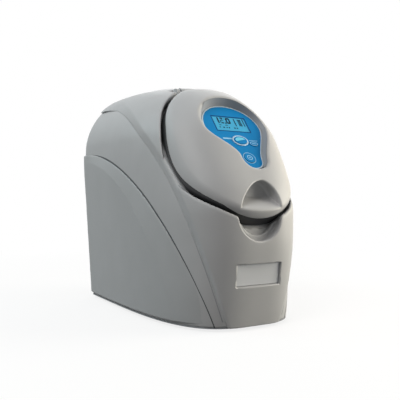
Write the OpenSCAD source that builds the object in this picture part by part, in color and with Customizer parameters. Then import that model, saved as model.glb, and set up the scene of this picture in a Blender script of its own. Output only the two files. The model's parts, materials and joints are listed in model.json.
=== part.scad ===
// Benchtop microcentrifuge: domed body with a sloped hinged lid that carries the controls,
// a rotor chamber with an angle rotor, its motor drive, lid lock and rear mains entry.
// Front faces -Y, +Z is up, and the floor is z = 0 under the feet. Millimetres.

/* [Body] */
// Widest part of the housing, at the shoulders
body_w = 176; // [172:1:182]
// Front of the cowl to the flat back
body_d = 256; // [252:1:262]
// Floor to the top of the cowl
body_h = 264; // [260:1:270]
// Height of the rubber feet below the skirt
foot_h = 3; // [2:0.5:5]
// Thickness of the cowl, and its step over the bands
cowl_t = 2; // [1.5:0.1:2.5]
// Thickness of the inner housing walls
wall_t = 2.5; // [2:0.1:3]
// How far the side panels stand out past the cowl
panel_proud = 0.5; // [0.2:0.1:1]
// Height of the side panel arch at the back
arch_h = 180; // [172:1:186]
// Height of the cowl crease at the back
crease_h = 235; // [228:1:240]

/* [Lid] */
// Width of the lid opening
lid_w = 138; // [134:1:140]
// Length of the lid opening along its slope
lid_l = 180; // [176:1:182]
// Slope of the lid
lid_tilt = 51.2; // [50:0.1:52]
// Gap all round between the lid and the cowl
lid_gap = 2.4; // [1.8:0.1:3]
// How far the lid dome stands out past the cowl
lid_proud = 2; // [1:0.1:3]
// Thickness of the lid shell
lid_t = 3.5; // [3:0.1:4]

/* [Controls] */
// Width of the display window
lcd_w = 40; // [36:0.5:42]
// Height of the display window
lcd_h = 20; // [17:0.5:22]
// Width of the oval key
oval_w = 15; // [12:0.5:16]
// Diameter of the round power key
power_d = 12; // [10:0.5:13]
// Travel of the keys
key_travel = 0.6; // [0.4:0.1:0.8]

/* [Chamber and rotor] */
// Inner diameter of the rotor chamber
bowl_d = 112; // [110:1:113]
// Diameter of the rotor
rotor_d = 98; // [94:1:100]
// Tube places in the rotor
tubes = 12; // [8:1:12]
// Diameter of a tube place
tube_d = 10.8; // [10:0.1:11]
// Diameter of the motor shaft
shaft_d = 8; // [7:0.5:9]

/* [Hidden] */
yb = body_d / 2 + 0.464 * lid_proud;
yf = yb - body_d;
hw = body_w / 2;
skirt_z = foot_h;
panel_z = foot_h + 3.6;
tray_t = 3;
grey = [0.62, 0.63, 0.635];
dark = [0.16, 0.16, 0.17];
steel = [0.75, 0.76, 0.77];
zinc = [0.66, 0.67, 0.66];
green = [0.05, 0.33, 0.2];
blue = [0.1, 0.46, 0.74];
black = [0.08, 0.08, 0.08];

// Shape stations: [height share, setback of the front share of the depth]
front_run = [
  [0, 0.037], [0.19, 0.012], [0.34, 0], [0.417, 0], [0.492, 0.021], [0.568, 0.059], [0.663, 0.115],
  [0.758, 0.176], [0.841, 0.242], [0.909, 0.345], [0.9545, 0.532], [0.985, 0.832], [1, 1]];
// [height share, half width share]
side_run = [
  [0, 0.882], [0.227, 0.924], [0.4545, 0.966], [0.67, 1], [0.72, 0.9955], [0.7765, 0.959], [0.833, 0.884],
  [0.89, 0.761], [0.939, 0.591], [0.9735, 0.364], [0.9924, 0.159], [1, 0]];
// [height share, squareness across], then [height share, squareness to the front]
cross_run = [[0, 3.4], [0.227, 3.2], [0.72, 3.15], [0.87, 2.45], [1, 2.06]];
nose_run = [[0, 4.4], [0.417, 3.6], [0.72, 3.3], [1, 1.9]];

// Heights of the body's rings as shares, and the steps round each ring
rows = [0, 0.1, 0.2, 0.29, 0.36, 0.41, 0.45, 0.49, 0.53, 0.57, 0.61, 0.65, 0.69, 0.725, 0.76, 0.79, 0.82,
  0.85, 0.875, 0.9, 0.92, 0.94, 0.955, 0.968, 0.979, 0.988, 0.995];
turns = 56;

// Lid frame: u across, v up the slope, n out of the lid
lid_y = yf + 0.2215 * body_d;
lid_z = 0.6645 * body_h;
lid_a = lid_w / 2;
lid_b = lid_l / 2;
lid_e = 2.15;
lid_end = lid_b - 10;
swing_gap = 3;
hinge_v = lid_b - 2;
hinge_n = -6;
hinge_y = lid_y + hinge_v * cos(lid_tilt) - hinge_n * sin(lid_tilt);
hinge_z = lid_z + hinge_v * sin(lid_tilt) + hinge_n * cos(lid_tilt);
hinge_r = 6.5;
pin_d = 4;
knuckle = 52;
ear_x = knuckle / 2 + 1;
panel_n = 15.2;
overlay_t = 1.2;
tray_n = panel_n - overlay_t;
rim_n = -14;
rim_v = 3.4;
rim_a = lid_a - 11;
rim_b = lid_b - 20.6;
seal_t = 2.7;
seal_n = rim_n + seal_t;
liner_n = seal_n + 0.3;
liner_t = 2.5;
hook_u = 26;
hook_v = 10 - lid_b * 0.933;
bolt_n = -19.4;
bolt_d = 3.2;
bolt_travel = 5;

// Chamber and drive
axis_y = lid_y + 25.296;
bowl_r = bowl_d / 2;
bowl_top = 0.568 * body_h - 49.952;
bowl_z = bowl_top - 38;
bowl_t = 2;
plate_z = bowl_z - 6;
plate_t = 3;
motor_r = 31;
motor_z = foot_h + tray_t + 0.16 * (plate_z - foot_h - tray_t);
core_h = plate_z - motor_z - 18;
rotor_r = rotor_d / 2;
rotor_z = bowl_z + 8;
cup_r = 24.5;
cup_z = lid_z - 66.3;
cup_y = yf + 11;
plate_w = 49;
plate_h = 20;
badge_z = 0.2 * body_h;
badge_lean = 5.6;
beam_z = 0.745 * body_h;
beam_y = lid_y + 87.368;
post_x = hw / 2;
post_y = 30;

// Room behind the chamber for the supply and the board over it
supply_w = 72;
supply_f = axis_y + bowl_r + 25.072;
supply_l = yb - 24.928 - supply_f;
toroid_r = min(supply_w, supply_l) / 2 - 6;
board_f = axis_y + bowl_r + 15.072;
board_l = yb - 22.928 - board_f;
board_y = board_f + board_l / 2;
board_w = 2 * hw - 60;
standoff_x = board_w / 2 - 6;
standoff_y = board_l / 2 - 6;

// Places on the back
inlet_x = -40;
inlet_z = 40;
switch_z = inlet_z + 37.75;
fan_x = 32;
fan_z = inlet_z + 24;
vent_rows = [body_h - 114, body_h - 79];
rear_screw_places = [for (p = [[hw - 22, 18], [hw - 16, vent_rows[0]], [hw / 4, body_h - 32]], s = [-1, 1])
  [s * p[0], p[1]]];

// Places on the lid: centres of the keys and the window, and the liner's screws
oval_c = [5.5, -1.8];
small_c = [20.5, -5.3];
power_c = [6.5, -25.3];
lcd_c = [4, 22.2];
oval_h = oval_w * 0.68;
small_w = 10;
small_h = 6;
stem_d = 4.6;
post_d = 2.4;
liner_screw_places = [for (
  p = [[lid_a - 23, lid_b - 62], [lid_a - 27.5, 50 - lid_b], [lid_a - 37, lid_b - 36]], s = [-1, 1])
  [s * p[0], p[1]]];

// Smooth run through a list of [place, value] stations
function chord(t, i) = (t[i + 1][1] - t[i][1]) / (t[i + 1][0] - t[i][0]);
function bend(t, i) =
  i == 0 ? chord(t, 0)
  : i == len(t) - 1 ? chord(t, i - 1)
  : let (a = chord(t, i - 1), b = chord(t, i)) a * b <= 0 ? 0 : 2 * a * b / (a + b);
function along(t, s) =
  let (
    i = max([for (k = [0 : len(t) - 2]) if (k == 0 || t[k][0] <= s) k]),
    h = t[i + 1][0] - t[i][0],
    q = (s - t[i][0]) / h)
  (1 + 2 * q) * pow(1 - q, 2) * t[i][1] + q * pow(1 - q, 2) * h * bend(t, i)
    + q * q * (3 - 2 * q) * t[i + 1][1] + q * q * (q - 1) * h * bend(t, i + 1);

function spow(v, e) = sign(v) * pow(abs(v), e);

// Half of the level outline turns from the left back edge over the nose to the right one
function level(s, out = 0) =
  let (
    grow = 1 + out / hw,
    reach = 1 + out / body_d,
    w = hw * along(side_run, s) * grow,
    d = body_d * (1 - along(front_run, s)) * reach,
    e = 2 / along(cross_run, s),
    f = 2 / along(nose_run, s))
  [for (i = [0 : turns]) let (a = 180 * i / turns) [-w * spow(cos(a), e), yb - d * pow(sin(a), f)]];

// The whole domed body as a solid, grown or shrunk by out; back lengthens it behind the flat back
module body(out = 0, back = 0) {
  tall = body_h + out;
  ring = turns + 3;
  levels = [for (s = rows) let (p = level(s, out))
    concat([[p[0][0], yb + back]], p, [[p[turns][0], yb + back]])];
  pts = concat(
    [for (r = [0 : len(rows) - 1]) for (p = levels[r]) [p[0], p[1], tall * rows[r]]],
    [[0, yb - 0.01, tall], [0, yb + back, tall]]);
  last = (len(rows) - 1) * ring;
  apex = len(rows) * ring;
  faces = concat(
    [[for (i = [0 : ring - 1]) i]],
    [for (r = [0 : len(rows) - 2]) for (i = [0 : ring - 2]) each
      let (k = r * ring + i) [[k, k + ring, k + ring + 1], [k, k + ring + 1, k + 1]]],
    [for (i = [1 : ring - 3]) [last + i, apex, last + i + 1]],
    [[last, apex + 1, apex, last + 1], [last + ring - 2, apex, apex + 1, last + ring - 1]],
    [[for (r = [0 : len(rows) - 1]) r * ring + ring - 1, apex + 1,
      for (r = [len(rows) - 1 : -1 : 0]) r * ring]]);
  polyhedron(pts, faces, convexity = 6);
}

// A moulded skin: one smooth mesh
module moulded() {
  resize([0, 0, 0])
    children();
}

// Places a child in the lid frame
module on_lid() {
  translate([0, lid_y, lid_z])
    rotate([lid_tilt, 0, 0])
      children();
}

// Draws a Y-Z outline and sweeps it across the body
module side_sweep(w) {
  rotate([90, 0, 90])
    translate([0, 0, -w / 2])
      linear_extrude(w)
        children();
}

// Draws an X-Z outline and sweeps it from y0 backwards
module front_sweep(y0, d) {
  translate([0, y0 + d, 0])
    rotate([90, 0, 0])
      linear_extrude(d)
        children();
}

// Quarter arch from the back down to the front, in Y-Z
function arch(run, tall, e) =
  [for (i = [0 : 40]) let (a = 90 * i / 40) [yb - run * sin(a), tall * pow(cos(a), 2 / e)]];

module above_crease() {
  side_sweep(2 * body_w)
    polygon(concat(arch(body_d * 0.946, crease_h, 2), [[yf - 60, 0], [yf - 60, body_h * 1.5],
      [yb + 1, body_h * 1.5], [yb + 1, crease_h]]));
}

module below_arch() {
  run = [for (p = arch(body_d * 0.93, arch_h, 1.7)) if (p[1] > panel_z + 2.5) p];
  side_sweep(2 * body_w)
    polygon(concat([[yb + 1, panel_z], [yb + 1, arch_h]], run, [[run[len(run) - 1][0], panel_z]]));
}

// Rounded outline of the lid, grown by g; up lengthens its upper half
function lid_outline(g, up = 0, n = 96) =
  [for (i = [0 : n - 1]) let (t = 360 * i / n)
    [(lid_a + g) * spow(cos(t), 2 / lid_e), (lid_b + g + (t < 180 ? up : 0)) * spow(sin(t), 2 / lid_e)]];

module lid_flat(g, cut, up = 0) {
  intersection() {
    polygon(lid_outline(g, up));
    translate([-lid_w, -lid_l])
      square([2 * lid_w, lid_l + cut]);
  }
}

// Ring between two lid outlines
module lid_ring(g0, g1, cut0, cut1) {
  difference() {
    lid_flat(g1, cut1);
    lid_flat(g0, cut0);
  }
}

// The control panel's drop outline: wide head, waist and a tail that leans right
function drop(g = 0) =
  let (mid = 4.3, head = 35.3 + g, tail = 13.2 + g, tx = 8.4, tv = -26.8, hv = 16)
  concat(
    [for (a = [0 : 10 : 180]) [mid + head * cos(a), hv + (head - 2) * pow(sin(a), 0.9)]],
    [for (q = [0.08 : 0.12 : 0.98]) let (s = (1 - cos(180 * q)) / 2)
      [mid - head + (tx - tail - mid + head) * s, hv + (tv - hv) * (0.55 * q + 0.45 * pow(q, 0.65))]],
    [for (a = [180 : 15 : 360]) [tx + tail * cos(a), tv + tail * sin(a)]],
    [for (q = [0.1 : 0.15 : 0.95]) let (s = 0.6 * q + 0.4 * (1 - cos(180 * q)) / 2)
      [tx + tail + (head + mid - tx - tail) * s, tv + (hv - tv) * q]]);

module oval(w, h, d, n0) {
  translate([0, 0, n0])
    linear_extrude(d)
      scale([1, h / w])
        circle(d = w, $fn = 48);
}

module at(c) {
  translate([c[0], c[1], 0])
    children();
}

module cowl() {
  color(grey)
    moulded()
      difference() {
        intersection() {
          body(0);
          union() {
            intersection() {
              difference() {
                body(1, 1);
                body(-cowl_t, 5);
              }
              above_crease();
            }
            on_lid()
              translate([0, 0, rim_n])
                linear_extrude(40)
                  polygon(lid_outline(2, swing_gap));
            front_sweep(yf - 5, cup_y - yf + 7)
              notch(cup_r + 2);
            badge_place()
              translate([-plate_w / 2 - 3, -plate_h / 2 - 3, -4.5])
                cube([plate_w + 6, plate_h + 6, 8]);
          }
          translate([-body_w, -body_d, skirt_z])
            cube([2 * body_w, 2 * body_d, body_h]);
        }
        on_lid()
          translate([0, 0, rim_n - 0.5])
            linear_extrude(70)
              union() {
                lid_flat(0, lid_b - 4, swing_gap);
                translate([-ear_x - 5, lid_b - 30])
                  square([2 * ear_x + 10, 37]);
              }
        front_sweep(yf - 10, cup_y - yf + 10)
          notch(cup_r);
        badge_place()
          translate([-plate_w / 2 - 0.6, -plate_h / 2 - 0.6, -2.4])
            cube([plate_w + 1.2, plate_h + 1.2, 10]);
      }
}

// Half round finger notch under the lid's lip
module notch(r) {
  translate([0, cup_z])
    union() {
      circle(r, $fn = 64);
      translate([-r, 0])
        square([2 * r, 12]);
    }
}

// Frame of the name plate: its face is the X-Y plane, out of the front
module badge_place() {
  translate([0, yf + 4.6, badge_z])
    rotate([90 + badge_lean, 0, 0])
      children();
}

module name_plate() {
  color([0.86, 0.87, 0.88])
    badge_place()
      translate([-plate_w / 2, -plate_h / 2, -2.4])
        cube([plate_w, plate_h, 0.9]);
}

// Keeps one side of the body, -1 left or 1 right, above z0
module flank(side, z0) {
  translate([side < 0 ? -body_w : 20, -body_d, z0])
    cube([body_w - 20, 2 * body_d, body_h]);
}

module half_housing(side) {
  moulded()
    difference() {
      intersection() {
        body(-cowl_t);
        flank(side, foot_h + 1.5);
        side_sweep(2 * body_w)
          polygon(concat([[yb + 1, 0], [yb + 1, crease_h + 10]], arch(body_d * 0.946 + 6, crease_h + 10, 2)));
      }
      body(-cowl_t - wall_t, 5);
    }
}

module left_housing() {
  color(grey)
    half_housing(-1);
}

module right_housing() {
  color(grey)
    half_housing(1);
}

module side_panel(side) {
  moulded()
    intersection() {
      difference() {
        body(panel_proud);
        body(-cowl_t, 5);
      }
      below_arch();
      flank(side, panel_z);
    }
}

module left_side_panel() {
  color(grey)
    side_panel(-1);
}

module right_side_panel() {
  color(grey)
    side_panel(1);
}

module tray_flat(out) {
  polygon(level(0.02, out));
}

module base_tray() {
  color(dark)
    difference() {
      union() {
        translate([0, 0, foot_h])
          linear_extrude(1.5)
            tray_flat(-cowl_t - 0.3);
        translate([0, 0, foot_h])
          linear_extrude(tray_t)
            tray_flat(-cowl_t - wall_t - 0.4);
        for (x = [-post_x, post_x], y = [-post_y, post_y])
          translate([x, axis_y + y, foot_h])
            cylinder(d = 10, h = plate_z - foot_h, $fn = 40);
        for (x = [-standoff_x, standoff_x], y = [-standoff_y, standoff_y])
          translate([x, board_y + y, foot_h])
            cylinder(d = 7, h = 75, $fn = 32);
      }
      for (x = [-post_x, post_x], y = [-post_y, post_y])
        translate([x, axis_y + y, foot_h - 1])
          cylinder(d = 3.4, h = plate_z, $fn = 32);
      for (x = [-45 : 10 : 45])
        translate([x - 2, axis_y + 65.072, foot_h - 1])
          cube([4, 12, tray_t + 2]);
    }
}

module rubber_feet() {
  color(black)
    for (s = [-1, 1], p = [[post_x - 4, axis_y - 16.928], [hw - 30, yb - 24.928]])
      translate([s * p[0], p[1], 0])
        rotate_extrude($fn = 40)
          polygon([[0, 0], [8, 0], [9.5, 1.2], [9.5, foot_h], [0, foot_h]]);
}

module rear_outline(out) {
  low = foot_h + tray_t;
  foot = (hw + out) * along(side_run, 0.023);
  edge = [for (s = rows) if (s * body_h > low) [(hw + out) * along(side_run, s), (body_h + out) * s]];
  polygon(concat(
    [for (p = edge) [-p[0], p[1]]],
    [for (i = [len(edge) - 1 : -1 : 0]) edge[i]],
    [[foot, low], [-foot, low]]));
}

module rear_panel() {
  color(grey)
    front_sweep(yb - 6, 2.5)
      difference() {
        rear_outline(-cowl_t - wall_t - 0.3);
        translate([inlet_x - 14, inlet_z - 12])
          square([28, 24]);
        translate([inlet_x - 11, switch_z - 13.75])
          square([22, 27.5]);
        translate([fan_x, fan_z])
          circle(28, $fn = 64);
        for (x = [-30 : 12 : 30], z = vent_rows)
          translate([x, z])
            union() {
              square([5, 22], center = true);
              for (e = [-11, 11])
                translate([0, e])
                  circle(2.5, $fn = 24);
            }
        for (c = rear_screw_places)
          translate(c)
            circle(1.6, $fn = 24);
      }
}

module screw(d, head, l) {
  union() {
    cylinder(d = d, h = l, $fn = 24);
    translate([0, 0, -1.8])
      difference() {
        cylinder(d = head, h = 1.8, $fn = 32);
        for (a = [0, 90])
          rotate(a)
            translate([-head / 3, -0.4, -0.1])
              cube([head / 1.5, 0.8, 0.9]);
      }
  }
}

module rear_screws() {
  color(steel)
    for (c = rear_screw_places)
      translate([c[0], yb - 3.5, c[1]])
        rotate([90, 0, 0])
          screw(3.2, 6.5, 6);
}

module chamber_bowl() {
  color(steel)
    translate([0, axis_y, 0])
      rotate_extrude($fn = 96)
        polygon([[14, bowl_z], [bowl_r - 6, bowl_z], [bowl_r + bowl_t - 1.5, bowl_z + 2.6],
          [bowl_r + bowl_t, bowl_z + 7], [bowl_r + bowl_t, bowl_top - 2], [bowl_r + 5, bowl_top - 2],
          [bowl_r + 5, bowl_top], [bowl_r, bowl_top], [bowl_r, bowl_z + 8], [bowl_r - 2, bowl_z + 4.4],
          [bowl_r - 6.5, bowl_z + 2.2], [18, bowl_z + 2.2], [18, bowl_z + 4], [14, bowl_z + 4]]);
}

// Funnel wall from the round bowl rim to the sloped lid rim; over lengthens it past both ends
module funnel(g, over = 0) {
  n = 72;
  steps = 4;
  function low(t) = [(bowl_r + g) * cos(t), axis_y + (bowl_r + g) * sin(t), bowl_top];
  function high(t) =
    let (u = (rim_a + g) * spow(cos(t), 2 / lid_e), v = rim_v + (rim_b + g) * spow(sin(t), 2 / lid_e))
    [u, lid_y + v * cos(lid_tilt) - rim_n * sin(lid_tilt), lid_z + v * sin(lid_tilt) + rim_n * cos(lid_tilt)];
  pts = [for (k = [0 : steps]) for (i = [0 : n - 1])
    let (t = 360 * i / n, q = k / steps * (1 + 2 * over) - over) low(t) * (1 - q) + high(t) * q];
  polyhedron(pts, concat(
    [[for (i = [0 : n - 1]) i]],
    [for (k = [0 : steps - 1]) for (i = [0 : n - 1]) let (j = (i + 1) % n) each
      [[k * n + i, (k + 1) * n + i, (k + 1) * n + j], [k * n + i, (k + 1) * n + j, k * n + j]]],
    [[for (i = [n - 1 : -1 : 0]) steps * n + i]]), convexity = 4);
}

module chamber_collar() {
  color([0.55, 0.56, 0.57])
    moulded()
      difference() {
        union() {
          funnel(2);
          intersection() {
            on_lid()
              translate([0, 0, rim_n - 2])
                linear_extrude(2)
                  union() {
                    lid_flat(-0.2, lid_b - 10);
                    translate([-knuckle / 2 - 0.4, lid_b - 30])
                      square([knuckle + 0.8, 38]);
                  }
            body(-cowl_t - 0.2);
          }
        }
        funnel(0, 0.08);
        front_sweep(yf - 10, cup_y - yf + 12.6)
          notch(cup_r + 2.6);
        on_lid()
          translate([hook_u - 7, hook_v - 2.6, rim_n - 30])
            cube([14, 5.2, 40]);
      }
}

// Outline of the sloped chamber rim, grown by g
module rim_flat(g) {
  polygon([for (t = [0 : 4 : 356])
    [(rim_a + g) * spow(cos(t), 2 / lid_e), rim_v + (rim_b + g) * spow(sin(t), 2 / lid_e)]]);
}

module chamber_seal() {
  color(black)
    on_lid()
      translate([0, 0, rim_n])
        linear_extrude(seal_t)
          difference() {
            rim_flat(3.6);
            rim_flat(0.6);
          }
}

module damper_ring() {
  color(black)
    translate([0, axis_y, plate_z + plate_t])
      difference() {
        cylinder(r = 46, h = bowl_z - plate_z - plate_t, $fn = 72);
        translate([0, 0, -1])
          cylinder(r = 40, h = 10, $fn = 72);
      }
}

module motor_plate() {
  color(zinc)
    difference() {
      translate([-post_x - 8, axis_y - post_y - 8, plate_z])
        cube([2 * post_x + 16, 2 * post_y + 16, plate_t]);
      translate([0, axis_y, plate_z - 1])
        cylinder(r = 11, h = plate_t + 2, $fn = 48);
      for (x = [-post_x, post_x], y = [-post_y, post_y])
        translate([x, axis_y + y, plate_z - 1])
          cylinder(d = 3.4, h = plate_t + 2, $fn = 32);
      for (a = [45 : 90 : 315])
        translate([22 * cos(a), axis_y + 22 * sin(a), plate_z - 1])
          cylinder(d = 3.4, h = plate_t + 2, $fn = 32);
    }
}

module motor_screws() {
  color(steel) {
    for (x = [-post_x, post_x], y = [-post_y, post_y])
      translate([x, axis_y + y, plate_z + plate_t])
        rotate([180, 0, 0])
          screw(3, 6, 9);
    for (a = [45 : 90 : 315])
      translate([22 * cos(a), axis_y + 22 * sin(a), plate_z + plate_t])
        rotate([180, 0, 0])
          screw(3, 5.5, 7);
  }
}

module motor_can() {
  color([0.3, 0.31, 0.33])
    translate([0, axis_y, 0])
      difference() {
        union() {
          translate([0, 0, motor_z])
            cylinder(r = motor_r, h = plate_z - motor_z, $fn = 72);
          for (a = [0 : 15 : 345])
            rotate(a)
              translate([motor_r - 1, -1, motor_z + 8])
                cube([3, 2, core_h]);
        }
        translate([0, 0, motor_z + 4])
          cylinder(r = 24, h = plate_z - motor_z - 10, $fn = 72);
        translate([0, 0, plate_z - 7])
          cylinder(r = 9.5, h = 8, $fn = 48);
        translate([0, 0, motor_z - 1])
          cylinder(r = 9.5, h = 8, $fn = 48);
        for (a = [45 : 90 : 315])
          translate([22 * cos(a), 22 * sin(a), plate_z - 5])
            cylinder(d = 3, h = 6, $fn = 32);
      }
}

module bearing(z) {
  color(steel)
    translate([0, axis_y, z])
      difference() {
        cylinder(r = 9.5, h = 6, $fn = 48);
        translate([0, 0, -1])
          cylinder(d = shaft_d + 0.06, h = 8, $fn = 48);
      }
}

module bearing_upper() {
  bearing(plate_z - 6);
}

module bearing_lower() {
  bearing(motor_z);
}

module motor_shaft() {
  color(steel)
    translate([0, axis_y, 0])
      union() {
        translate([0, 0, motor_z - 2])
          cylinder(d = shaft_d, h = rotor_z + 28 - motor_z, $fn = 48);
        translate([0, 0, motor_z + 8])
          cylinder(r = 22, h = core_h, $fn = 64);
        translate([0, 0, plate_z + plate_t + 1])
          cylinder(r = 9, h = rotor_z - plate_z - plate_t - 1, $fn = 48);
      }
}

// Dished angle rotor: each tube place is square to the dish
module rotor() {
  color([0.82, 0.83, 0.84])
    translate([0, axis_y, rotor_z])
      difference() {
        rotate_extrude($fn = 96)
          polygon([[0, 0], [20, 0], [rotor_r - 3, 8], [rotor_r, 12], [rotor_r, 23], [rotor_r - 15, 37],
            [rotor_r - 18, 37], [14, 20], [0, 20]]);
        translate([0, 0, -1])
          cylinder(d = shaft_d, h = 40, $fn = 48);
        for (i = [0 : tubes - 1])
          rotate(i * 360 / tubes)
            translate([25, 0, 31])
              rotate([0, 135, 0])
                translate([0, 0, -12])
                  cylinder(d = tube_d, h = rotor_r - 12, $fn = 32);
      }
}

module rotor_nut() {
  color(dark)
    translate([0, axis_y, rotor_z + 20])
      difference() {
        union() {
          cylinder(r = 9, h = 6, $fn = 64);
          translate([0, 0, 6])
            cylinder(r1 = 9, r2 = 7.5, h = 3, $fn = 64);
        }
        translate([0, 0, -1])
          cylinder(d = shaft_d, h = 7, $fn = 48);
        for (a = [0 : 30 : 330])
          rotate(a)
            translate([9.4, 0, 1.5])
              cylinder(d = 2, h = 14, $fn = 24);
      }
}

module hinge_bridge() {
  color(zinc)
    difference() {
      union() {
        moulded()
          intersection() {
            body(-cowl_t - wall_t);
            translate([-body_w, beam_y, beam_z])
              cube([2 * body_w, 10, 14]);
          }
        for (s = [-1, 1])
          translate([s * (ear_x + 2) - 2, 0, 0])
            rotate([90, 0, 90])
              linear_extrude(4)
                union() {
                  translate([hinge_y, hinge_z])
                    circle(5.5, $fn = 48);
                  polygon([[hinge_y + 1, hinge_z - 5.4], [beam_y + 10, beam_z + 2], [beam_y, beam_z + 2],
                    [hinge_y - 5, hinge_z - 2], [hinge_y, hinge_z + 4], [hinge_y + 4.5, hinge_z + 3]]);
                }
      }
      translate([-body_w, hinge_y, hinge_z])
        rotate([0, 90, 0])
          cylinder(d = pin_d, h = 2 * body_w, $fn = 40);
    }
}

module hinge_pin() {
  color(steel)
    translate([-ear_x - 4.5, hinge_y, hinge_z])
      rotate([0, 90, 0])
        cylinder(d = pin_d, h = 2 * ear_x + 9, $fn = 40);
}

// Arched thumb scoop over the lid's lip, with a shelf that falls to the front
module scoop(g, back) {
  difference() {
    front_sweep(yf - 20, 20 + back)
      translate([0, lid_z - 61.5])
        scale([1, 28 / 23])
          circle(23 + g, $fn = 64);
    translate([-60, yf - 2, lid_z - 60.4 - g])
      rotate([30, 0, 0])
        translate([0, -80, -80])
          cube([120, 160, 80]);
  }
}

module lid_shell() {
  color(grey)
    moulded()
      difference() {
        intersection() {
          body(lid_proud);
          on_lid()
            translate([0, 0, rim_n + 1.5])
              linear_extrude(60)
                lid_flat(-lid_gap, lid_end);
          union() {
            difference() {
              body(lid_proud + 1);
              body(lid_proud - lid_t);
            }
            on_lid()
              translate([0, 0, rim_n + 1])
                linear_extrude(40)
                  lid_ring(-lid_gap - 2.5, 1, lid_end - 3, lid_end + 1);
            on_lid()
              translate([0, 0, liner_n + liner_t])
                linear_extrude(3)
                  lid_ring(-lid_gap - 20, 1, lid_end - 9, lid_end + 1);
            on_lid()
              translate([0, 0, tray_n - 2])
                linear_extrude(20)
                  polygon(drop(8));
            scoop(2.5, 22);
          }
        }
        on_lid() {
          translate([0, 0, tray_n])
            linear_extrude(overlay_t + 0.01)
              polygon(drop(0.3));
          translate([3.5, 6, panel_n])
            linear_extrude(14, scale = [1.257, 1.117])
              translate([-3.5, -6])
                polygon(drop(0.4));
          translate([0, 0, tray_n - 5]) {
            at(oval_c)
              oval(oval_w + 0.8, oval_h + 0.8, 10, 0);
            at(small_c)
              oval(small_w + 0.8, small_h + 0.8, 10, 0);
            at(power_c)
              oval(power_d + 0.8, power_d + 0.8, 10, 0);
            at(lcd_c)
              translate([-lcd_w / 2 - 2, -lcd_h / 2 - 2, 0])
                cube([lcd_w + 4, lcd_h + 4, 10]);
          }
        }
        scoop(0, 19);
        on_lid() {
          translate([-knuckle / 2 - 0.3, lid_end - 24.3, liner_n + liner_t - 0.4])
            cube([knuckle + 0.6, 40, 3.3]);
          for (c = liner_screw_places)
            translate([c[0], c[1], liner_n])
              cylinder(d = 3.5, h = 5.4, $fn = 24);
        }
      }
}

module lid_liner() {
  color([0.8, 0.81, 0.82])
    difference() {
      on_lid()
        translate([0, 0, liner_n])
          linear_extrude(liner_t)
            difference() {
              lid_flat(-lid_gap - 2.7, lid_end - 4);
              for (c = liner_screw_places)
                translate(c)
                  circle(1.6, $fn = 24);
            }
      scoop(3.2, 24);
    }
}

module liner_screws() {
  color(steel)
    on_lid()
      for (c = liner_screw_places)
        translate([c[0], c[1], liner_n])
          screw(3.2, 5.5, 5);
}

module lid_hinge() {
  color(zinc)
    difference() {
      union() {
        translate([-knuckle / 2, hinge_y, hinge_z])
          rotate([0, 90, 0])
            cylinder(r = hinge_r, h = knuckle, $fn = 64);
        on_lid()
          translate([-knuckle / 2 + 2, lid_end - 24, liner_n + liner_t])
            cube([knuckle - 4, hinge_v - lid_end + 20.5, 2.6]);
      }
      translate([-body_w, hinge_y, hinge_z])
        rotate([0, 90, 0])
          cylinder(d = pin_d + 0.1, h = 2 * body_w, $fn = 40);
    }
}

module control_panel() {
  color(blue)
    on_lid()
      translate([0, 0, tray_n])
        linear_extrude(overlay_t)
          difference() {
            polygon(drop(0));
            at(oval_c)
              scale([1, (oval_h + 4.4) / (oval_w + 4.4)])
                circle(d = oval_w + 4.4, $fn = 48);
            at(small_c)
              scale([1, (small_h + 0.8) / (small_w + 0.8)])
                circle(d = small_w + 0.8, $fn = 48);
            at(power_c)
              circle(d = power_d + 0.8, $fn = 48);
            at(lcd_c)
              square([lcd_w + 0.2, lcd_h + 0.2], center = true);
          }
}

module display_window() {
  color([0.31, 0.75, 0.9])
    on_lid()
      at(lcd_c)
        translate([-lcd_w / 2, -lcd_h / 2, tray_n - 1.5])
          cube([lcd_w, lcd_h, overlay_t + 1.2]);
}

module display_module() {
  color(dark)
    on_lid()
      at(lcd_c)
        translate([-lcd_w / 2 - 1.6, -lcd_h / 2 - 1.6, tray_n - 5.5])
          cube([lcd_w + 3.2, lcd_h + 3.2, 4]);
}

module key_board() {
  color(green)
    on_lid()
      union() {
        translate([0, 0, tray_n - 7.1])
          linear_extrude(1.6)
            union() {
              at(lcd_c)
                square([lcd_w + 12, lcd_h + 8], center = true);
              translate([-7.5, -35.3])
                square([34, 50]);
            }
        for (c = [oval_c, small_c, power_c])
          at(c)
            translate([0, 0, tray_n - 6])
              cylinder(d = post_d, h = 4.5, $fn = 32);
      }
}

// A key: its cap stands out of the panel and its hollow stem slides on a post of the board
module key(w, h, up) {
  low = tray_n - 5.1 + key_travel;
  difference() {
    union() {
      oval(w, h, overlay_t + up, tray_n);
      translate([0, 0, low])
        cylinder(d = stem_d, h = tray_n - low + 0.2, $fn = 32);
    }
    translate([0, 0, low - 1])
      cylinder(d = post_d + 0.1, h = tray_n - low + 0.7, $fn = 32);
  }
}

module oval_key() {
  color([0.75, 0.82, 0.88])
    on_lid()
      at(oval_c)
        key(oval_w, oval_h, 1.2);
}

module oval_ring() {
  color([0.85, 0.86, 0.87])
    on_lid()
      at(oval_c)
        translate([0, 0, tray_n])
          linear_extrude(overlay_t + 0.7)
            difference() {
              scale([1, (oval_h + 4) / (oval_w + 4)])
                circle(d = oval_w + 4, $fn = 48);
              scale([1, (oval_h + 0.8) / (oval_w + 0.8)])
                circle(d = oval_w + 0.8, $fn = 48);
            }
}

module small_key() {
  color(blue)
    on_lid()
      at(small_c)
        key(small_w, small_h, 0.6);
}

module power_key() {
  color(blue)
    on_lid()
      at(power_c)
        key(power_d, power_d, 0.6);
}

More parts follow.
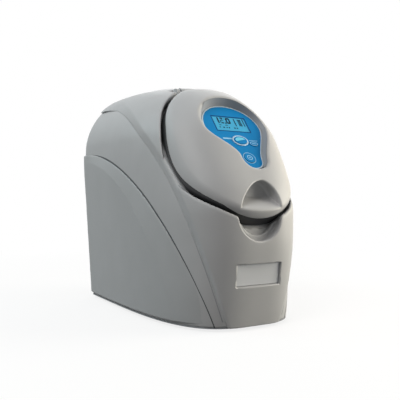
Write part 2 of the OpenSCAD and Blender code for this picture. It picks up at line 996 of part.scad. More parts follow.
module latch_hook() {
  color(steel)
    on_lid()
      difference() {
        union() {
          translate([hook_u - 5, hook_v - 1.2, bolt_n - 3.6])
            cube([10, 2.4, liner_n - bolt_n + 3.6]);
          translate([hook_u - 5, hook_v - 1.2, liner_n - 1.5])
            cube([10, 9, 1.5]);
        }
        translate([hook_u - 2.6, hook_v - 3, bolt_n - 2.4])
          cube([5.2, 6, 4.8]);
      }
}

// The lock sits in front of the hook: its bolt crosses the hook's eye
module lock_frame() {
  color(zinc)
    on_lid()
      translate([hook_u, hook_v - 6.5, bolt_n])
        difference() {
          translate([-4.4, 0, -3.2])
            cube([10.4, 2, rim_n - 2 - bolt_n + 3.2]);
          translate([0, -1, 0])
            rotate([-90, 0, 0])
              cylinder(d = bolt_d + 0.12, h = 4, $fn = 32);
        }
}

module lock_coil() {
  color([0.7, 0.42, 0.2])
    on_lid()
      translate([hook_u, hook_v - 13.5, bolt_n])
        rotate([-90, 0, 0])
          difference() {
            cylinder(d = 6.6, h = 7, $fn = 40);
            translate([0, 0, -1])
              cylinder(d = bolt_d + 0.6, h = 10, $fn = 32);
          }
}

module lock_bolt() {
  color(steel)
    on_lid()
      translate([hook_u, hook_v - 13.2, bolt_n])
        rotate([-90, 0, 0])
          cylinder(d = bolt_d, h = 11, $fn = 32);
}

module power_supply() {
  color(zinc)
    difference() {
      translate([-supply_w / 2, supply_f, foot_h + tray_t])
        cube([supply_w, supply_l, 34]);
      translate([2 - supply_w / 2, supply_f + 2, foot_h + tray_t + 2])
        cube([supply_w - 4, supply_l - 4, 40]);
      for (x = [-28 : 8 : 28])
        translate([x - 2, supply_f - 1, foot_h + tray_t + 8])
          cube([4, 4, 20]);
    }
}

module toroid() {
  color([0.7, 0.42, 0.2])
    translate([0, supply_f + supply_l / 2 + 2, foot_h + tray_t + 2])
      rotate_extrude($fn = 64)
        translate([toroid_r * 17 / 28, toroid_r * 11 / 28])
          circle(toroid_r * 11 / 28, $fn = 32);
}

module control_board() {
  color(green)
    union() {
      translate([-board_w / 2, board_f, foot_h + 75])
        cube([board_w, board_l, 1.6]);
      for (x = [-40, -10, 24])
        translate([x, board_y - 20, foot_h + 76.6])
          cube([18, 14, 4]);
      for (x = [-44 : 12 : 40])
        translate([x, board_y + 22, foot_h + 76.6])
          cylinder(d = 9, h = 14, $fn = 32);
    }
}

module mains_inlet() {
  color(black)
    translate([inlet_x, yb - 3.5, inlet_z])
      union() {
        difference() {
          union() {
            translate([-17, 0, -14])
              cube([34, 2, 28]);
            translate([-13.8, -20, -11.8])
              cube([27.6, 20, 23.6]);
          }
          translate([-11, -14, -8])
            cube([22, 20, 16]);
        }
        for (p = [[-7, -2], [0, 2], [7, -2]])
          translate([p[0] - 1, -15, p[1] - 2])
            cube([2, 5, 4]);
      }
}

module switch_frame() {
  color(black)
    translate([inlet_x, yb - 3.5, switch_z])
      difference() {
        union() {
          translate([-12.5, 0, -15.5])
            cube([25, 1.6, 31]);
          translate([-10.8, -16, -13.5])
            cube([21.6, 16, 27]);
        }
        translate([-8.8, -12, -11.5])
          cube([17.6, 20, 23]);
        translate([-10, -3, 0])
          rotate([0, 90, 0])
            cylinder(d = 2.5, h = 20, $fn = 32);
      }
}

// Rocker on two pivot stubs, pressed in at its top
module mains_switch() {
  color([0.7, 0.1, 0.1])
    translate([inlet_x, yb - 6.5, switch_z])
      union() {
        rotate([8, 0, 0])
          rotate([90, 0, 90])
            translate([0, 0, -8.4])
              linear_extrude(16.8)
                polygon([[-4, -3], [0.5, -10.2], [3.5, -10.2], [2.6, 0], [3.5, 10.2], [0.5, 10.2], [-4, 3]]);
        translate([-9.7, 0, 0])
          rotate([0, 90, 0])
            cylinder(d = 2.4, h = 19.4, $fn = 32);
      }
}

// Places a child on the fan's axis, which runs out of the back
module at_fan() {
  translate([fan_x, yb - 21, fan_z])
    rotate([-90, 0, 0])
      children();
}

module fan_frame() {
  color(dark)
    at_fan()
      union() {
        difference() {
          translate([-30, -30, 0])
            cube([60, 60, 15]);
          translate([0, 0, -1])
            cylinder(r = 27.5, h = 17, $fn = 64);
        }
        cylinder(r = 10, h = 2, $fn = 48);
        for (a = [0, 90])
          rotate(a)
            translate([-28, -1.5, 0])
              cube([56, 3, 2]);
        translate([0, 0, 1])
          cylinder(d = 3, h = 9, $fn = 32);
      }
}

module fan_wheel() {
  color(dark)
    at_fan()
      difference() {
        union() {
          translate([0, 0, 3])
            cylinder(r = 11, h = 9, $fn = 48);
          for (a = [0 : 360 / 7 : 359])
            rotate(a)
              translate([9, -3, 5.5])
                rotate([30, 0, 0])
                  cube([17, 6, 1.2]);
        }
        translate([0, 0, 2])
          cylinder(d = 3.1, h = 8.6, $fn = 32);
      }
}

// Round finger guard over the fan, on the outside of the back
module fan_guard() {
  color(black)
    at_fan()
      translate([0, 0, 17.5])
        union() {
          for (r = [10, 16, 22])
            rotate_extrude($fn = 64)
              translate([r - 0.7, 0])
                square([1.4, 1.4]);
          rotate_extrude($fn = 64)
            translate([26.6, 0])
              square([4, 1.4]);
          for (a = [45, 135])
            rotate(a)
              translate([-27.5, -0.8, 0])
                cube([55, 1.6, 1.4]);
        }
}

module tray_screws() {
  color(steel)
    for (x = [-post_x, post_x], y = [-post_y, post_y])
      translate([x, axis_y + y, foot_h])
        screw(3, 6, 8);
}

cowl();
left_housing();
right_housing();
left_side_panel();
right_side_panel();
base_tray();
rear_panel();
rubber_feet();
chamber_bowl();
chamber_collar();
chamber_seal();
damper_ring();
motor_plate();
motor_can();
motor_shaft();
bearing_upper();
bearing_lower();
rotor();
rotor_nut();
hinge_bridge();
hinge_pin();
lid_shell();
lid_liner();
lid_hinge();
control_panel();
display_module();
display_window();
key_board();
oval_key();
oval_ring();
small_key();
power_key();
latch_hook();
lock_frame();
lock_coil();
lock_bolt();
name_plate();
power_supply();
control_board();
toroid();
mains_inlet();
mains_switch();
switch_frame();
fan_frame();
fan_wheel();
fan_guard();
tray_screws();
motor_screws();
rear_screws();
liner_screws();
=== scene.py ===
"""Looks of a benchtop microcentrifuge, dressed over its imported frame.

Sizes in the classes are millimetres in the frame's axes: front -Y, right +X, up +Z. The studio's
places are metres, as the scene has them.
"""

import itertools
import json
import logging
import math
from collections.abc import Callable, Mapping, Sequence
from dataclasses import dataclass, field
from enum import Enum

import bpy
import numpy as np
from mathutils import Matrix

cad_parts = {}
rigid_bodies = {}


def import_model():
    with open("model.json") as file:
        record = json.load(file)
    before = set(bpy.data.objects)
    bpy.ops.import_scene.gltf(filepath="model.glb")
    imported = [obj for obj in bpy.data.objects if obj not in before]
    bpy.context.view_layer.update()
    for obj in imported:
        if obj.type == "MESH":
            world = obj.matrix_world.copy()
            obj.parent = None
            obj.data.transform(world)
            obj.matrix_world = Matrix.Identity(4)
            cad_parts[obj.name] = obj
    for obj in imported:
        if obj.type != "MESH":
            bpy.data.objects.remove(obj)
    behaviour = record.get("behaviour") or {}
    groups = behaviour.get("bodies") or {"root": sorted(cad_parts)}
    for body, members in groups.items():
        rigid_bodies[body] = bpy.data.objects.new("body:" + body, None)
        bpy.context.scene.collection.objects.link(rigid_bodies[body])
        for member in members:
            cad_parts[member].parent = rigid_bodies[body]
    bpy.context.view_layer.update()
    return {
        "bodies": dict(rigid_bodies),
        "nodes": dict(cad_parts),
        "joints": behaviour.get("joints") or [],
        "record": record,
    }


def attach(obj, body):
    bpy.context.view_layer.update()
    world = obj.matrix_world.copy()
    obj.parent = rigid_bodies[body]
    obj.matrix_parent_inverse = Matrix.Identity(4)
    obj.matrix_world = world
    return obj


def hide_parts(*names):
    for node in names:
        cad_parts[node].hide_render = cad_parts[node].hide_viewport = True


LOG = logging.getLogger("microcentrifuge")
MM = 0.001

Grid = np.ndarray
Form = Callable[[Grid], Grid]
Pair = tuple[float, float]
Triple = tuple[float, float, float]
Colour = Triple


def screen(red: int, green: int, blue: int) -> Colour:
    """Turns a screen colour, 0 to 255 a channel, into linear light.

    Args:
        red: Red on the screen.
        green: Green on the screen.
        blue: Blue on the screen.

    Returns:
        The linear colour.
    """
    def linear(c: float) -> float:
        """One channel in linear light."""
        return c / 12.92 if c <= 0.04045 else ((c + 0.055) / 1.055) ** 2.4

    return linear(red / 255), linear(green / 255), linear(blue / 255)


def roll(a: Grid, b: Grid, k: float) -> Grid:
    """Meets two forms in one, with the edge between them rolled.

    Args:
        a: Distances to the first form, negative inside.
        b: Distances to the second form.
        k: Width over which the edge rolls.

    Returns:
        Distances to what both forms hold.
    """
    h = np.maximum(k - np.abs(a - b), 0) / k
    return np.maximum(a, b) + h * h * k / 4


def cut(a: Grid, b: Grid, k: float) -> Grid:
    """Takes form b out of form a and rolls the new edge over k."""
    return roll(a, -b, k)


def ellipse(u: Grid, v: Grid, a: float, b: Grid | float, power: float = 2.0) -> Grid:
    """Distance to a rounded outline in a plane, about its centre.

    Args:
        u: Places across.
        v: Places along.
        a: Half width.
        b: Half length.
        power: 2 is an ellipse, more is squarer.

    Returns:
        Distances, negative inside.
    """
    ru, rv = np.abs(u) / a, np.abs(v) / b
    total = np.maximum(ru**power + rv**power, 1e-9)
    size = total ** (1 / power)
    slope = total ** (1 / power - 1) * np.hypot(ru ** (power - 1) / a, rv ** (power - 1) / b)
    return (size - 1) / np.maximum(slope, 1e-6)


def block(low: Sequence[Grid | float], high: Sequence[Grid | float], places: Sequence[Grid]) -> Grid:
    """Distance to a box, negative inside, by its lowest and highest corners."""
    return np.maximum.reduce([np.maximum(a - q, q - b) for a, b, q in zip(low, high, places)])


def furthest(inside: Form, low: Grid, high: Grid, halvings: int = 30) -> Grid:
    """Finds by halving how far many values can grow and still lie inside.

    Args:
        inside: Says for each value whether it lies inside.
        low: Values that lie inside.
        high: Values that lie outside.
        halvings: How often the span between them is halved.

    Returns:
        The furthest values inside.
    """
    for _ in range(halvings):
        middle = (low + high) / 2
        stays = inside(middle)
        low, high = np.where(stays, middle, low), np.where(stays, high, middle)
    return low


@dataclass(frozen=True)
class Run:
    """A smooth monotone run through (place, value) stations."""

    stations: tuple[Pair, ...]

    def at(self, places: Grid) -> Grid:
        """Values of the run.

        Args:
            places: Places from 0 to 1.

        Returns:
            One value for each place.
        """
        s, value = np.array(self.stations).T
        chord = np.diff(value) / np.diff(s)
        before, after = chord[:-1], chord[1:]
        same = before * after > 0
        inner = np.where(same, 2 * before * after / np.where(same, before + after, 1), 0)
        slope = np.concatenate([chord[:1], inner, chord[-1:]])
        i = np.clip(np.searchsorted(s, places, side="right") - 1, 0, len(s) - 2)
        h = s[i + 1] - s[i]
        q = (places - s[i]) / h
        return (
            (1 + 2 * q) * (1 - q) ** 2 * value[i] + q * (1 - q) ** 2 * h * slope[i]
            + q * q * (3 - 2 * q) * value[i + 1] + q * q * (q - 1) * h * slope[i + 1]
        )


@dataclass
class BodyForm:
    """The domed body that every outer moulding follows."""

    half_width: float = 88.0
    depth: float = 256.0
    height: float = 264.0
    back: float = 128.928
    front_run: Run = Run(((0, 0.037), (0.19, 0.012), (0.34, 0), (0.417, 0), (0.492, 0.021),
                          (0.568, 0.059), (0.663, 0.115), (0.758, 0.176), (0.841, 0.242),
                          (0.909, 0.345), (0.9545, 0.532), (0.985, 0.832), (1, 1)))
    side_run: Run = Run(((0, 0.882), (0.227, 0.924), (0.4545, 0.966), (0.67, 1), (0.72, 0.9955),
                         (0.7765, 0.959), (0.833, 0.884), (0.89, 0.761), (0.939, 0.591), (0.9735, 0.364),
                         (0.9924, 0.159), (1, 0)))
    cross_run: Run = Run(((0, 3.4), (0.227, 3.2), (0.72, 3.15), (0.87, 2.45), (1, 2.06)))
    nose_run: Run = Run(((0, 4.4), (0.417, 3.6), (0.72, 3.3), (1, 1.9)))
    count: int = 4001
    ease: float = 0.03
    ease_bell: float = 2.6
    ease_end: float = 0.955
    ease_fade: float = 0.04
    tables: Grid = field(init=False, repr=False)
    slopes: Grid = field(init=False, repr=False)

    def __post_init__(self) -> None:
        """Draws the runs into tables, eased where the stations lie wide apart."""
        s = np.linspace(0, 1, self.count)
        rows = [self.half_width * self.side_run.at(s), self.depth * (1 - self.front_run.at(s)),
                self.cross_run.at(s), self.nose_run.at(s)]
        reach = int(self.ease * self.count)
        bell = np.exp(-0.5 * (np.arange(-reach, reach + 1) / (reach / self.ease_bell)) ** 2)
        share = np.clip((self.ease_end - s) / self.ease_fade, 0, 1)
        share = share * share * (3 - 2 * share)
        eased = []
        for row in rows:
            before, after = 2 * row[0] - row[reach:0:-1], 2 * row[-1] - row[-2:-reach - 2:-1]
            soft = np.convolve(np.concatenate([before, row, after]), bell / bell.sum(), mode="valid")
            eased.append(row + (soft - row) * share)
        self.tables = np.array(eased)
        self.slopes = np.gradient(self.tables, s, axis=1)

    @property
    def front(self) -> float:
        """The furthest front of the cowl."""
        return self.back - self.depth

    def skin(self, p: Grid) -> Grid:
        """Distance to the moulded skin; the body stays open at its back.

        Args:
            p: Points, one a row.

        Returns:
            Distances, negative inside.
        """
        x = np.abs(p[:, 0])
        run = np.maximum(self.back - p[:, 1], 0)
        s = np.clip(p[:, 2] / self.height, 0, 0.9996)
        place = s * (self.count - 1)
        i = place.astype(int)
        part = place - i
        w, d, n, m = self.tables[:, i] * (1 - part) + self.tables[:, i + 1] * part
        ws, ds, ns, ms = self.slopes[:, i] * (1 - part) + self.slopes[:, i + 1] * part
        rx = np.clip(x / w, 1e-5, 5)
        ry = np.clip(run / d, 1e-5, 5)
        across, along = rx**n, ry**m
        total = across + along
        by_x = n * across / (rx * w)
        by_y = m * along / (ry * d)
        by_z = across * (ns * np.log(rx) - n * ws / w) + along * (ms * np.log(ry) - m * ds / d)
        by_z /= self.height
        slope = total ** (-2 / 3) / 3 * np.sqrt(by_x**2 + by_y**2 + by_z**2)
        return np.maximum((total ** (1 / 3) - 1) / np.maximum(slope, 1e-5), p[:, 2] - self.height)


@dataclass(frozen=True)
class SideArch:
    """A quarter arch in the side view, from the back down to the front."""

    run: float
    tall: float
    power: float
    back: float

    def distance(self, p: Grid) -> Grid:
        """Distance to the arch.

        Args:
            p: Points, one a row.

        Returns:
            Distances, negative under the arch.
        """
        y = np.maximum(self.back - p[:, 1], 0) / self.run
        z = np.maximum(p[:, 2], 0.5) / self.tall
        slope = np.hypot(2 * y / self.run, self.power * z ** (self.power - 1) / self.tall)
        return (y * y + z**self.power - 1) / np.maximum(slope, 1e-5)


@dataclass(frozen=True)
class Slope:
    """A tilted frame: u across, v up along the slope, n out of it."""

    y: float
    z: float
    tilt: float

    def local(self, p: Grid) -> Grid:
        """Points of the part as u, v, n.

        Args:
            p: Points in the part's axes, one a row.

        Returns:
            Their u, v and n, one point a row.
        """
        c, s = math.cos(math.radians(self.tilt)), math.sin(math.radians(self.tilt))
        y, z = p[:, 1] - self.y, p[:, 2] - self.z
        return np.stack([p[:, 0], y * c + z * s, z * c - y * s], axis=1)

    def world(self, q: Grid) -> Grid:
        """Points of the slope in the part's own axes.

        Args:
            q: Points as u, v and n, one a row.

        Returns:
            The points in the part's axes.
        """
        c, s = math.cos(math.radians(self.tilt)), math.sin(math.radians(self.tilt))
        u, v, n = q.T
        return np.stack([u, self.y + v * c - n * s, self.z + v * s + n * c], axis=1)


BODY = BodyForm()
LID_FRAME = Slope(-70.368, 175.428, 51.2)
PLATE_FRAME = Slope(BODY.front + 4.6, 52.8, 95.6)
CREASE = SideArch(BODY.depth * 0.946, 235.0, 2.0, BODY.back)
PANEL_ARCH = SideArch(BODY.depth * 0.93, 180.0, 1.7, BODY.back)
PANEL_FACE = SideArch(PANEL_ARCH.run - 38, 170.0, 1.7, BODY.back)


@dataclass
class SkinNet:
    """Draws the smooth skin of a form as a net of quads."""

    form: Form
    low: Sequence[float]
    high: Sequence[float]
    step: float
    chunk: int = 8
    batch: int = 1500
    settlings: int = 3
    settle_reach: float = 0.02
    settle_most: float = 0.4
    normal_reach: float = 0.12

    def sample(self) -> Grid:
        """Distances on the grid: true near the skin, and only their sign elsewhere.

        Returns:
            The grid of distances.
        """
        size = np.ceil((np.array(self.high) - self.low) / (self.step * self.chunk)).astype(int)
        blocks = np.stack(np.meshgrid(*[np.arange(k) for k in size], indexing="ij"), -1).reshape(-1, 3)
        side = self.step * self.chunk
        middle = np.array(self.low) + blocks * side + (side - self.step) / 2
        rough = self.form(middle)
        grid = rough.reshape(size)
        for axis in range(3):
            grid = np.repeat(grid, self.chunk, axis)
        near = blocks[np.abs(rough) < side * 1.5]
        inner = np.stack(np.meshgrid(*[np.arange(self.chunk)] * 3, indexing="ij"), -1).reshape(-1, 3)
        for start in range(0, len(near), self.batch):
            cells = (near[start:start + self.batch, None, :] * self.chunk + inner[None]).reshape(-1, 3)
            grid[tuple(cells.T)] = self.form(np.array(self.low) + cells * self.step)
        return grid

    def slope(self, p: Grid, reach: float) -> Grid:
        """How the distance changes along x, y and z at each point.

        Args:
            p: Points, one a row.
            reach: How far to each side the distance is taken.

        Returns:
            The slopes, one point a row.
        """
        parts = []
        for axis in range(3):
            move = np.zeros(3)
            move[axis] = reach
            parts.append((self.form(p + move) - self.form(p - move)) / (2 * reach))
        return np.stack(parts, axis=1)

    def crossings(self, grid: Grid, cells: Grid) -> Grid:
        """The middle of the places where the skin crosses each cell's edges.

        Args:
            grid: Distances on the grid.
            cells: The cells that the skin passes through.

        Returns:
            One point for each cell.
        """
        total, hits = np.zeros((len(cells), 3)), np.zeros(len(cells))
        for axis, first, second in itertools.product(range(3), (0, 1), (0, 1)):
            start = cells.copy()
            start[:, [k for k in range(3) if k != axis]] += (first, second)
            end = start.copy()
            end[:, axis] += 1
            a, b = grid[tuple(start.T)], grid[tuple(end.T)]
            crossed = (a < 0) != (b < 0)
            spot = start.astype(float)
            spot[:, axis] += np.where(crossed, a / np.where(crossed, a - b, 1), 0)
            total += spot * crossed[:, None]
            hits += crossed
        return np.array(self.low) + total / hits[:, None] * self.step

    def draw(self, keep: Form | None = None) -> tuple[Grid, Grid, Grid]:
        """Finds the skin, settles its points on it and drops what isn't kept.

        Args:
            keep: Says for each point whether it stays.

        Returns:
            Points, quads and the points' normals.
        """
        grid = self.sample()
        inside = grid < 0
        nx, ny, nz = (k - 1 for k in inside.shape)
        around = sum(inside[a:a + nx, b:b + ny, c:c + nz].astype(np.uint8)
                     for a, b, c in itertools.product((0, 1), repeat=3))
        cells = np.argwhere((around > 0) & (around < 8))
        number = np.full(around.shape, -1, np.int64)
        number[tuple(cells.T)] = np.arange(len(cells))
        points = self.crossings(grid, cells)
        most = self.settle_most * self.step
        for _ in range(self.settlings):
            slope = self.slope(points, self.settle_reach)
            move = self.form(points) / np.maximum((slope**2).sum(1), 0.04)
            points -= slope * np.clip(move, -most, most)[:, None]
        quads = np.concatenate([self.faces(inside, number, axis) for axis in range(3)])
        if keep is not None:
            stays = keep(points)
            quads = quads[stays[quads].all(1)]
        used = np.unique(quads)
        fresh = np.full(len(points), -1, np.int64)
        fresh[used] = np.arange(len(used))
        points = points[used]
        normal = self.slope(points, self.normal_reach)
        normal /= np.maximum(np.linalg.norm(normal, axis=1), 1e-6)[:, None]
        return points, fresh[quads], normal

    @staticmethod
    def faces(inside: Grid, number: Grid, axis: int) -> Grid:
        """Quads across the grid edges of one axis.

        Args:
            inside: Whether each grid point is inside the form.
            number: The net's point in each cell, or -1.
            axis: The axis of the edges.

        Returns:
            Four points a row, turning outwards.
        """
        b, c = (axis + 1) % 3, (axis + 2) % 3
        near, far = [slice(None)] * 3, [slice(None)] * 3
        near[axis], far[axis] = slice(None, -1), slice(1, None)
        crossed = inside[tuple(near)] != inside[tuple(far)]
        edge = np.argwhere(crossed)
        limit = np.array(number.shape)
        edge = edge[((edge[:, [b, c]] >= 1) & (edge[:, [b, c]] < limit[[b, c]])).all(1)]
        outward = inside[tuple(edge.T)]
        corners = []
        for back_b, back_c in ((1, 1), (0, 1), (0, 0), (1, 0)):
            cell = edge.copy()
            cell[:, b] -= back_b
            cell[:, c] -= back_c
            corners.append(number[tuple(cell.T)])
        quads = np.stack(corners, axis=1)
        return np.where(outward[:, None], quads, quads[:, ::-1])


def to_mesh(name: str, points: Grid, faces: Grid, normals: Grid | None = None) -> bpy.types.Object:
    """Makes a mesh object in the scene.

    Args:
        name: The piece's name.
        points: Points in millimetres.
        faces: Points of each face, one face a row.
        normals: A normal for each point, or None to leave them to the faces.

    Returns:
        The new object.
    """
    mesh = bpy.data.meshes.new(name)
    sides = faces.shape[1]
    mesh.vertices.add(len(points))
    mesh.vertices.foreach_set("co", (points * MM).astype(np.float32).ravel())
    mesh.loops.add(faces.size)
    mesh.loops.foreach_set("vertex_index", faces.astype(np.int32).ravel())
    mesh.polygons.add(len(faces))
    mesh.polygons.foreach_set("loop_start", np.arange(0, faces.size, sides, dtype=np.int32))
    mesh.update(calc_edges=True)
    mesh.polygons.foreach_set("use_smooth", np.ones(len(faces), bool))
    if normals is not None:
        mesh.normals_split_custom_set_from_vertices(normals.tolist())
    mesh.update()
    piece = bpy.data.objects.new(name, mesh)
    bpy.context.scene.collection.objects.link(piece)
    return piece


def ribbon(name: str, rows: Sequence[Grid], closed: bool) -> bpy.types.Object:
    """A strip of quads between rows of points.

    Args:
        name: The piece's name.
        rows: Rows of points, all of one length.
        closed: Whether each row meets its own start.

    Returns:
        The strip.
    """
    count = len(rows[0])
    start = np.arange(count if closed else count - 1)
    end = (start + 1) % count
    quads = np.stack([start, start + count, end + count, end], axis=1)
    strips = [quads + count * k for k in range(len(rows) - 1)]
    return to_mesh(name, np.concatenate(rows), np.concatenate(strips))


def closed_line(points: Sequence[Pair], count: int, ease: float) -> Grid:
    """Spreads points evenly round a closed line and eases its corners.

    Args:
        points: Corners of the line, in order.
        count: Points on the new line.
        ease: Width of the easing along the line, in millimetres.

    Returns:
        The new line, one point a row.
    """
    line = np.array([*points, points[0]])
    far = np.concatenate([[0], np.cumsum(np.hypot(*np.diff(line, axis=0).T))])
    place = np.linspace(0, far[-1], count, endpoint=False)
    even = np.stack([np.interp(place, far, line[:, k]) for k in (0, 1)], axis=1)
    if ease <= 0:
        return even
    gap = np.minimum(np.arange(count), count - np.arange(count)) * far[-1] / count
    bell = np.exp(-0.5 * (gap / ease) ** 2)
    wave = np.fft.rfft(bell / bell.sum())[:, None]
    return np.fft.irfft(np.fft.rfft(even, axis=0) * wave, count, axis=0)


def oval_line(centre: Pair, width: float, height: float, count: int = 64) -> Grid:
    """An oval as a closed line of points.

    Args:
        centre: Its middle.
        width: Its width.
        height: Its height.
        count: Points on the line.

    Returns:
        The line, one point a row.
    """
    turn = np.linspace(0, 2 * np.pi, count, endpoint=False)
    return np.stack([centre[0] + width / 2 * np.cos(turn), centre[1] + height / 2 * np.sin(turn)], axis=1)


def box_line(centre: Pair, width: float, height: float, corner: float = 0.6) -> Grid:
    """A rectangle with rounded corners as a closed line of points.

    Args:
        centre: Its middle.
        width: Its width.
        height: Its height.
        corner: Radius of its corners.

    Returns:
        The line, one point a row.
    """
    line = []
    for k, (a, b) in enumerate(((1, 1), (-1, 1), (-1, -1), (1, -1))):
        for turn in np.linspace(0, 90, 6) + 90 * k:
            angle = math.radians(turn)
            line.append((centre[0] + a * (width / 2 - corner) + corner * math.cos(angle),
                         centre[1] + b * (height / 2 - corner) + corner * math.sin(angle)))
    return np.array(line)


def cut_sheet(name: str, lines: Sequence[Grid], frame: Slope, low: float, high: float,
              bevel: float = 0.0) -> bpy.types.Object:
    """Cuts a flat piece out of a sheet, with inner lines as holes.

    Args:
        name: The piece's name.
        lines: Closed lines in the frame's plane.
        frame: The frame that the sheet lies in.
        low: Height of its underside over the frame's plane.
        high: Height of its face.
        bevel: Size of the rolled edge.

    Returns:
        The new object.
    """
    curve = bpy.data.curves.new(name, "CURVE")
    curve.dimensions = "2D"
    curve.fill_mode = "BOTH"
    curve.extrude = ((high - low) / 2 - bevel) * MM
    curve.bevel_depth = bevel * MM
    curve.bevel_resolution = 2
    curve.offset = -bevel * MM
    for line in lines:
        spline = curve.splines.new("POLY")
        spline.points.add(len(line) - 1)
        spline.points.foreach_set("co", np.pad(line * MM, ((0, 0), (0, 2))).ravel())
        spline.use_cyclic_u = True
    shape = bpy.data.objects.new(name, curve)
    bpy.context.scene.collection.objects.link(shape)
    drawn = shape.evaluated_get(bpy.context.evaluated_depsgraph_get())
    mesh = bpy.data.meshes.new_from_object(drawn)
    bpy.data.objects.remove(shape)
    bpy.data.curves.remove(curve)
    flat = np.empty(len(mesh.vertices) * 3)
    mesh.vertices.foreach_get("co", flat)
    places = flat.reshape(-1, 3) / MM
    places[:, 2] += (low + high) / 2
    mesh.vertices.foreach_set("co", (frame.world(places) * MM).ravel())
    mesh.name = name
    mesh.update()
    piece = bpy.data.objects.new(name, mesh)
    bpy.context.scene.collection.objects.link(piece)
    return piece


class FlatShape:
    """A closed line in a plane with the distance to it kept as a table."""

    def __init__(self, line: Grid, step: float = 0.5, margin: float = 30.0) -> None:
        """Measures the line.

        Args:
            line: The closed line.
            step: Spacing of the table.
            margin: How far the table reaches past the line.
        """
        self.low = line.min(0) - margin
        self.step = step
        self.size = np.ceil((line.max(0) + margin - self.low) / step).astype(int) + 1
        cells = np.meshgrid(*[np.arange(k) for k in self.size], indexing="ij")
        spots = self.low + np.stack(cells, -1).reshape(-1, 2) * step
        best, inside = np.full(len(spots), 1e9), np.zeros(len(spots), bool)
        for a, b in zip(line, np.roll(line, -1, axis=0)):
            way = b - a
            t = np.clip(((spots - a) @ way) / max(way @ way, 1e-9), 0, 1)
            best = np.minimum(best, ((spots - a - t[:, None] * way) ** 2).sum(1))
            spans = (a[1] > spots[:, 1]) != (b[1] > spots[:, 1])
            if a[1] != b[1]:
                inside ^= spans & (spots[:, 0] < a[0] + way[0] * (spots[:, 1] - a[1]) / way[1])
        self.table = np.where(inside, -1, 1).reshape(self.size) * np.sqrt(best).reshape(self.size)

    def distance(self, u: Grid, v: Grid) -> Grid:
        """Distance to the line at each place.

        Args:
            u: Places across.
            v: Places along.

        Returns:
            Distances, negative inside.
        """
        a = np.clip((u - self.low[0]) / self.step, 0, self.size[0] - 1.001)
        b = np.clip((v - self.low[1]) / self.step, 0, self.size[1] - 1.001)
        i, j = a.astype(int), b.astype(int)
        s, t = a - i, b - j
        return ((self.table[i, j] * (1 - s) + self.table[i + 1, j] * s) * (1 - t)
                + (self.table[i, j + 1] * (1 - s) + self.table[i + 1, j + 1] * s) * t)


class Wire:
    """A value in a shader tree that takes part in expressions."""

    def __init__(self, graph: "Graph", socket: bpy.types.NodeSocket) -> None:
        """Keeps the tree and the socket that carries the value."""
        self.graph = graph
        self.socket = socket

    def math(self, operation: str, first: "Wire | float", second: "Wire | float") -> "Wire":
        """Adds one Math node and gives its value."""
        node = self.graph.add("ShaderNodeMath", {"operation": operation}, {0: first, 1: second})
        return Wire(self.graph, node.outputs[0])

    def __add__(self, other: "Wire | float") -> "Wire":
        """This value plus another."""
        return self.math("ADD", self, other)

    def __radd__(self, other: float) -> "Wire":
        """A number plus this value."""
        return self.math("ADD", other, self)

    def __sub__(self, other: "Wire | float") -> "Wire":
        """This value less another."""
        return self.math("SUBTRACT", self, other)

    def __rsub__(self, other: float) -> "Wire":
        """A number less this value."""
        return self.math("SUBTRACT", other, self)

    def __mul__(self, other: "Wire | float") -> "Wire":
        """This value times another."""
        return self.math("MULTIPLY", self, other)

    def __rmul__(self, other: float) -> "Wire":
        """A number times this value."""
        return self.math("MULTIPLY", other, self)

    def __gt__(self, other: float) -> "Wire":
        """1 where this value is above a number."""
        return self.math("GREATER_THAN", self, other)

    def wave(self) -> "Wire":
        """The sine of this value."""
        return self.math("SINE", self, 0.0)


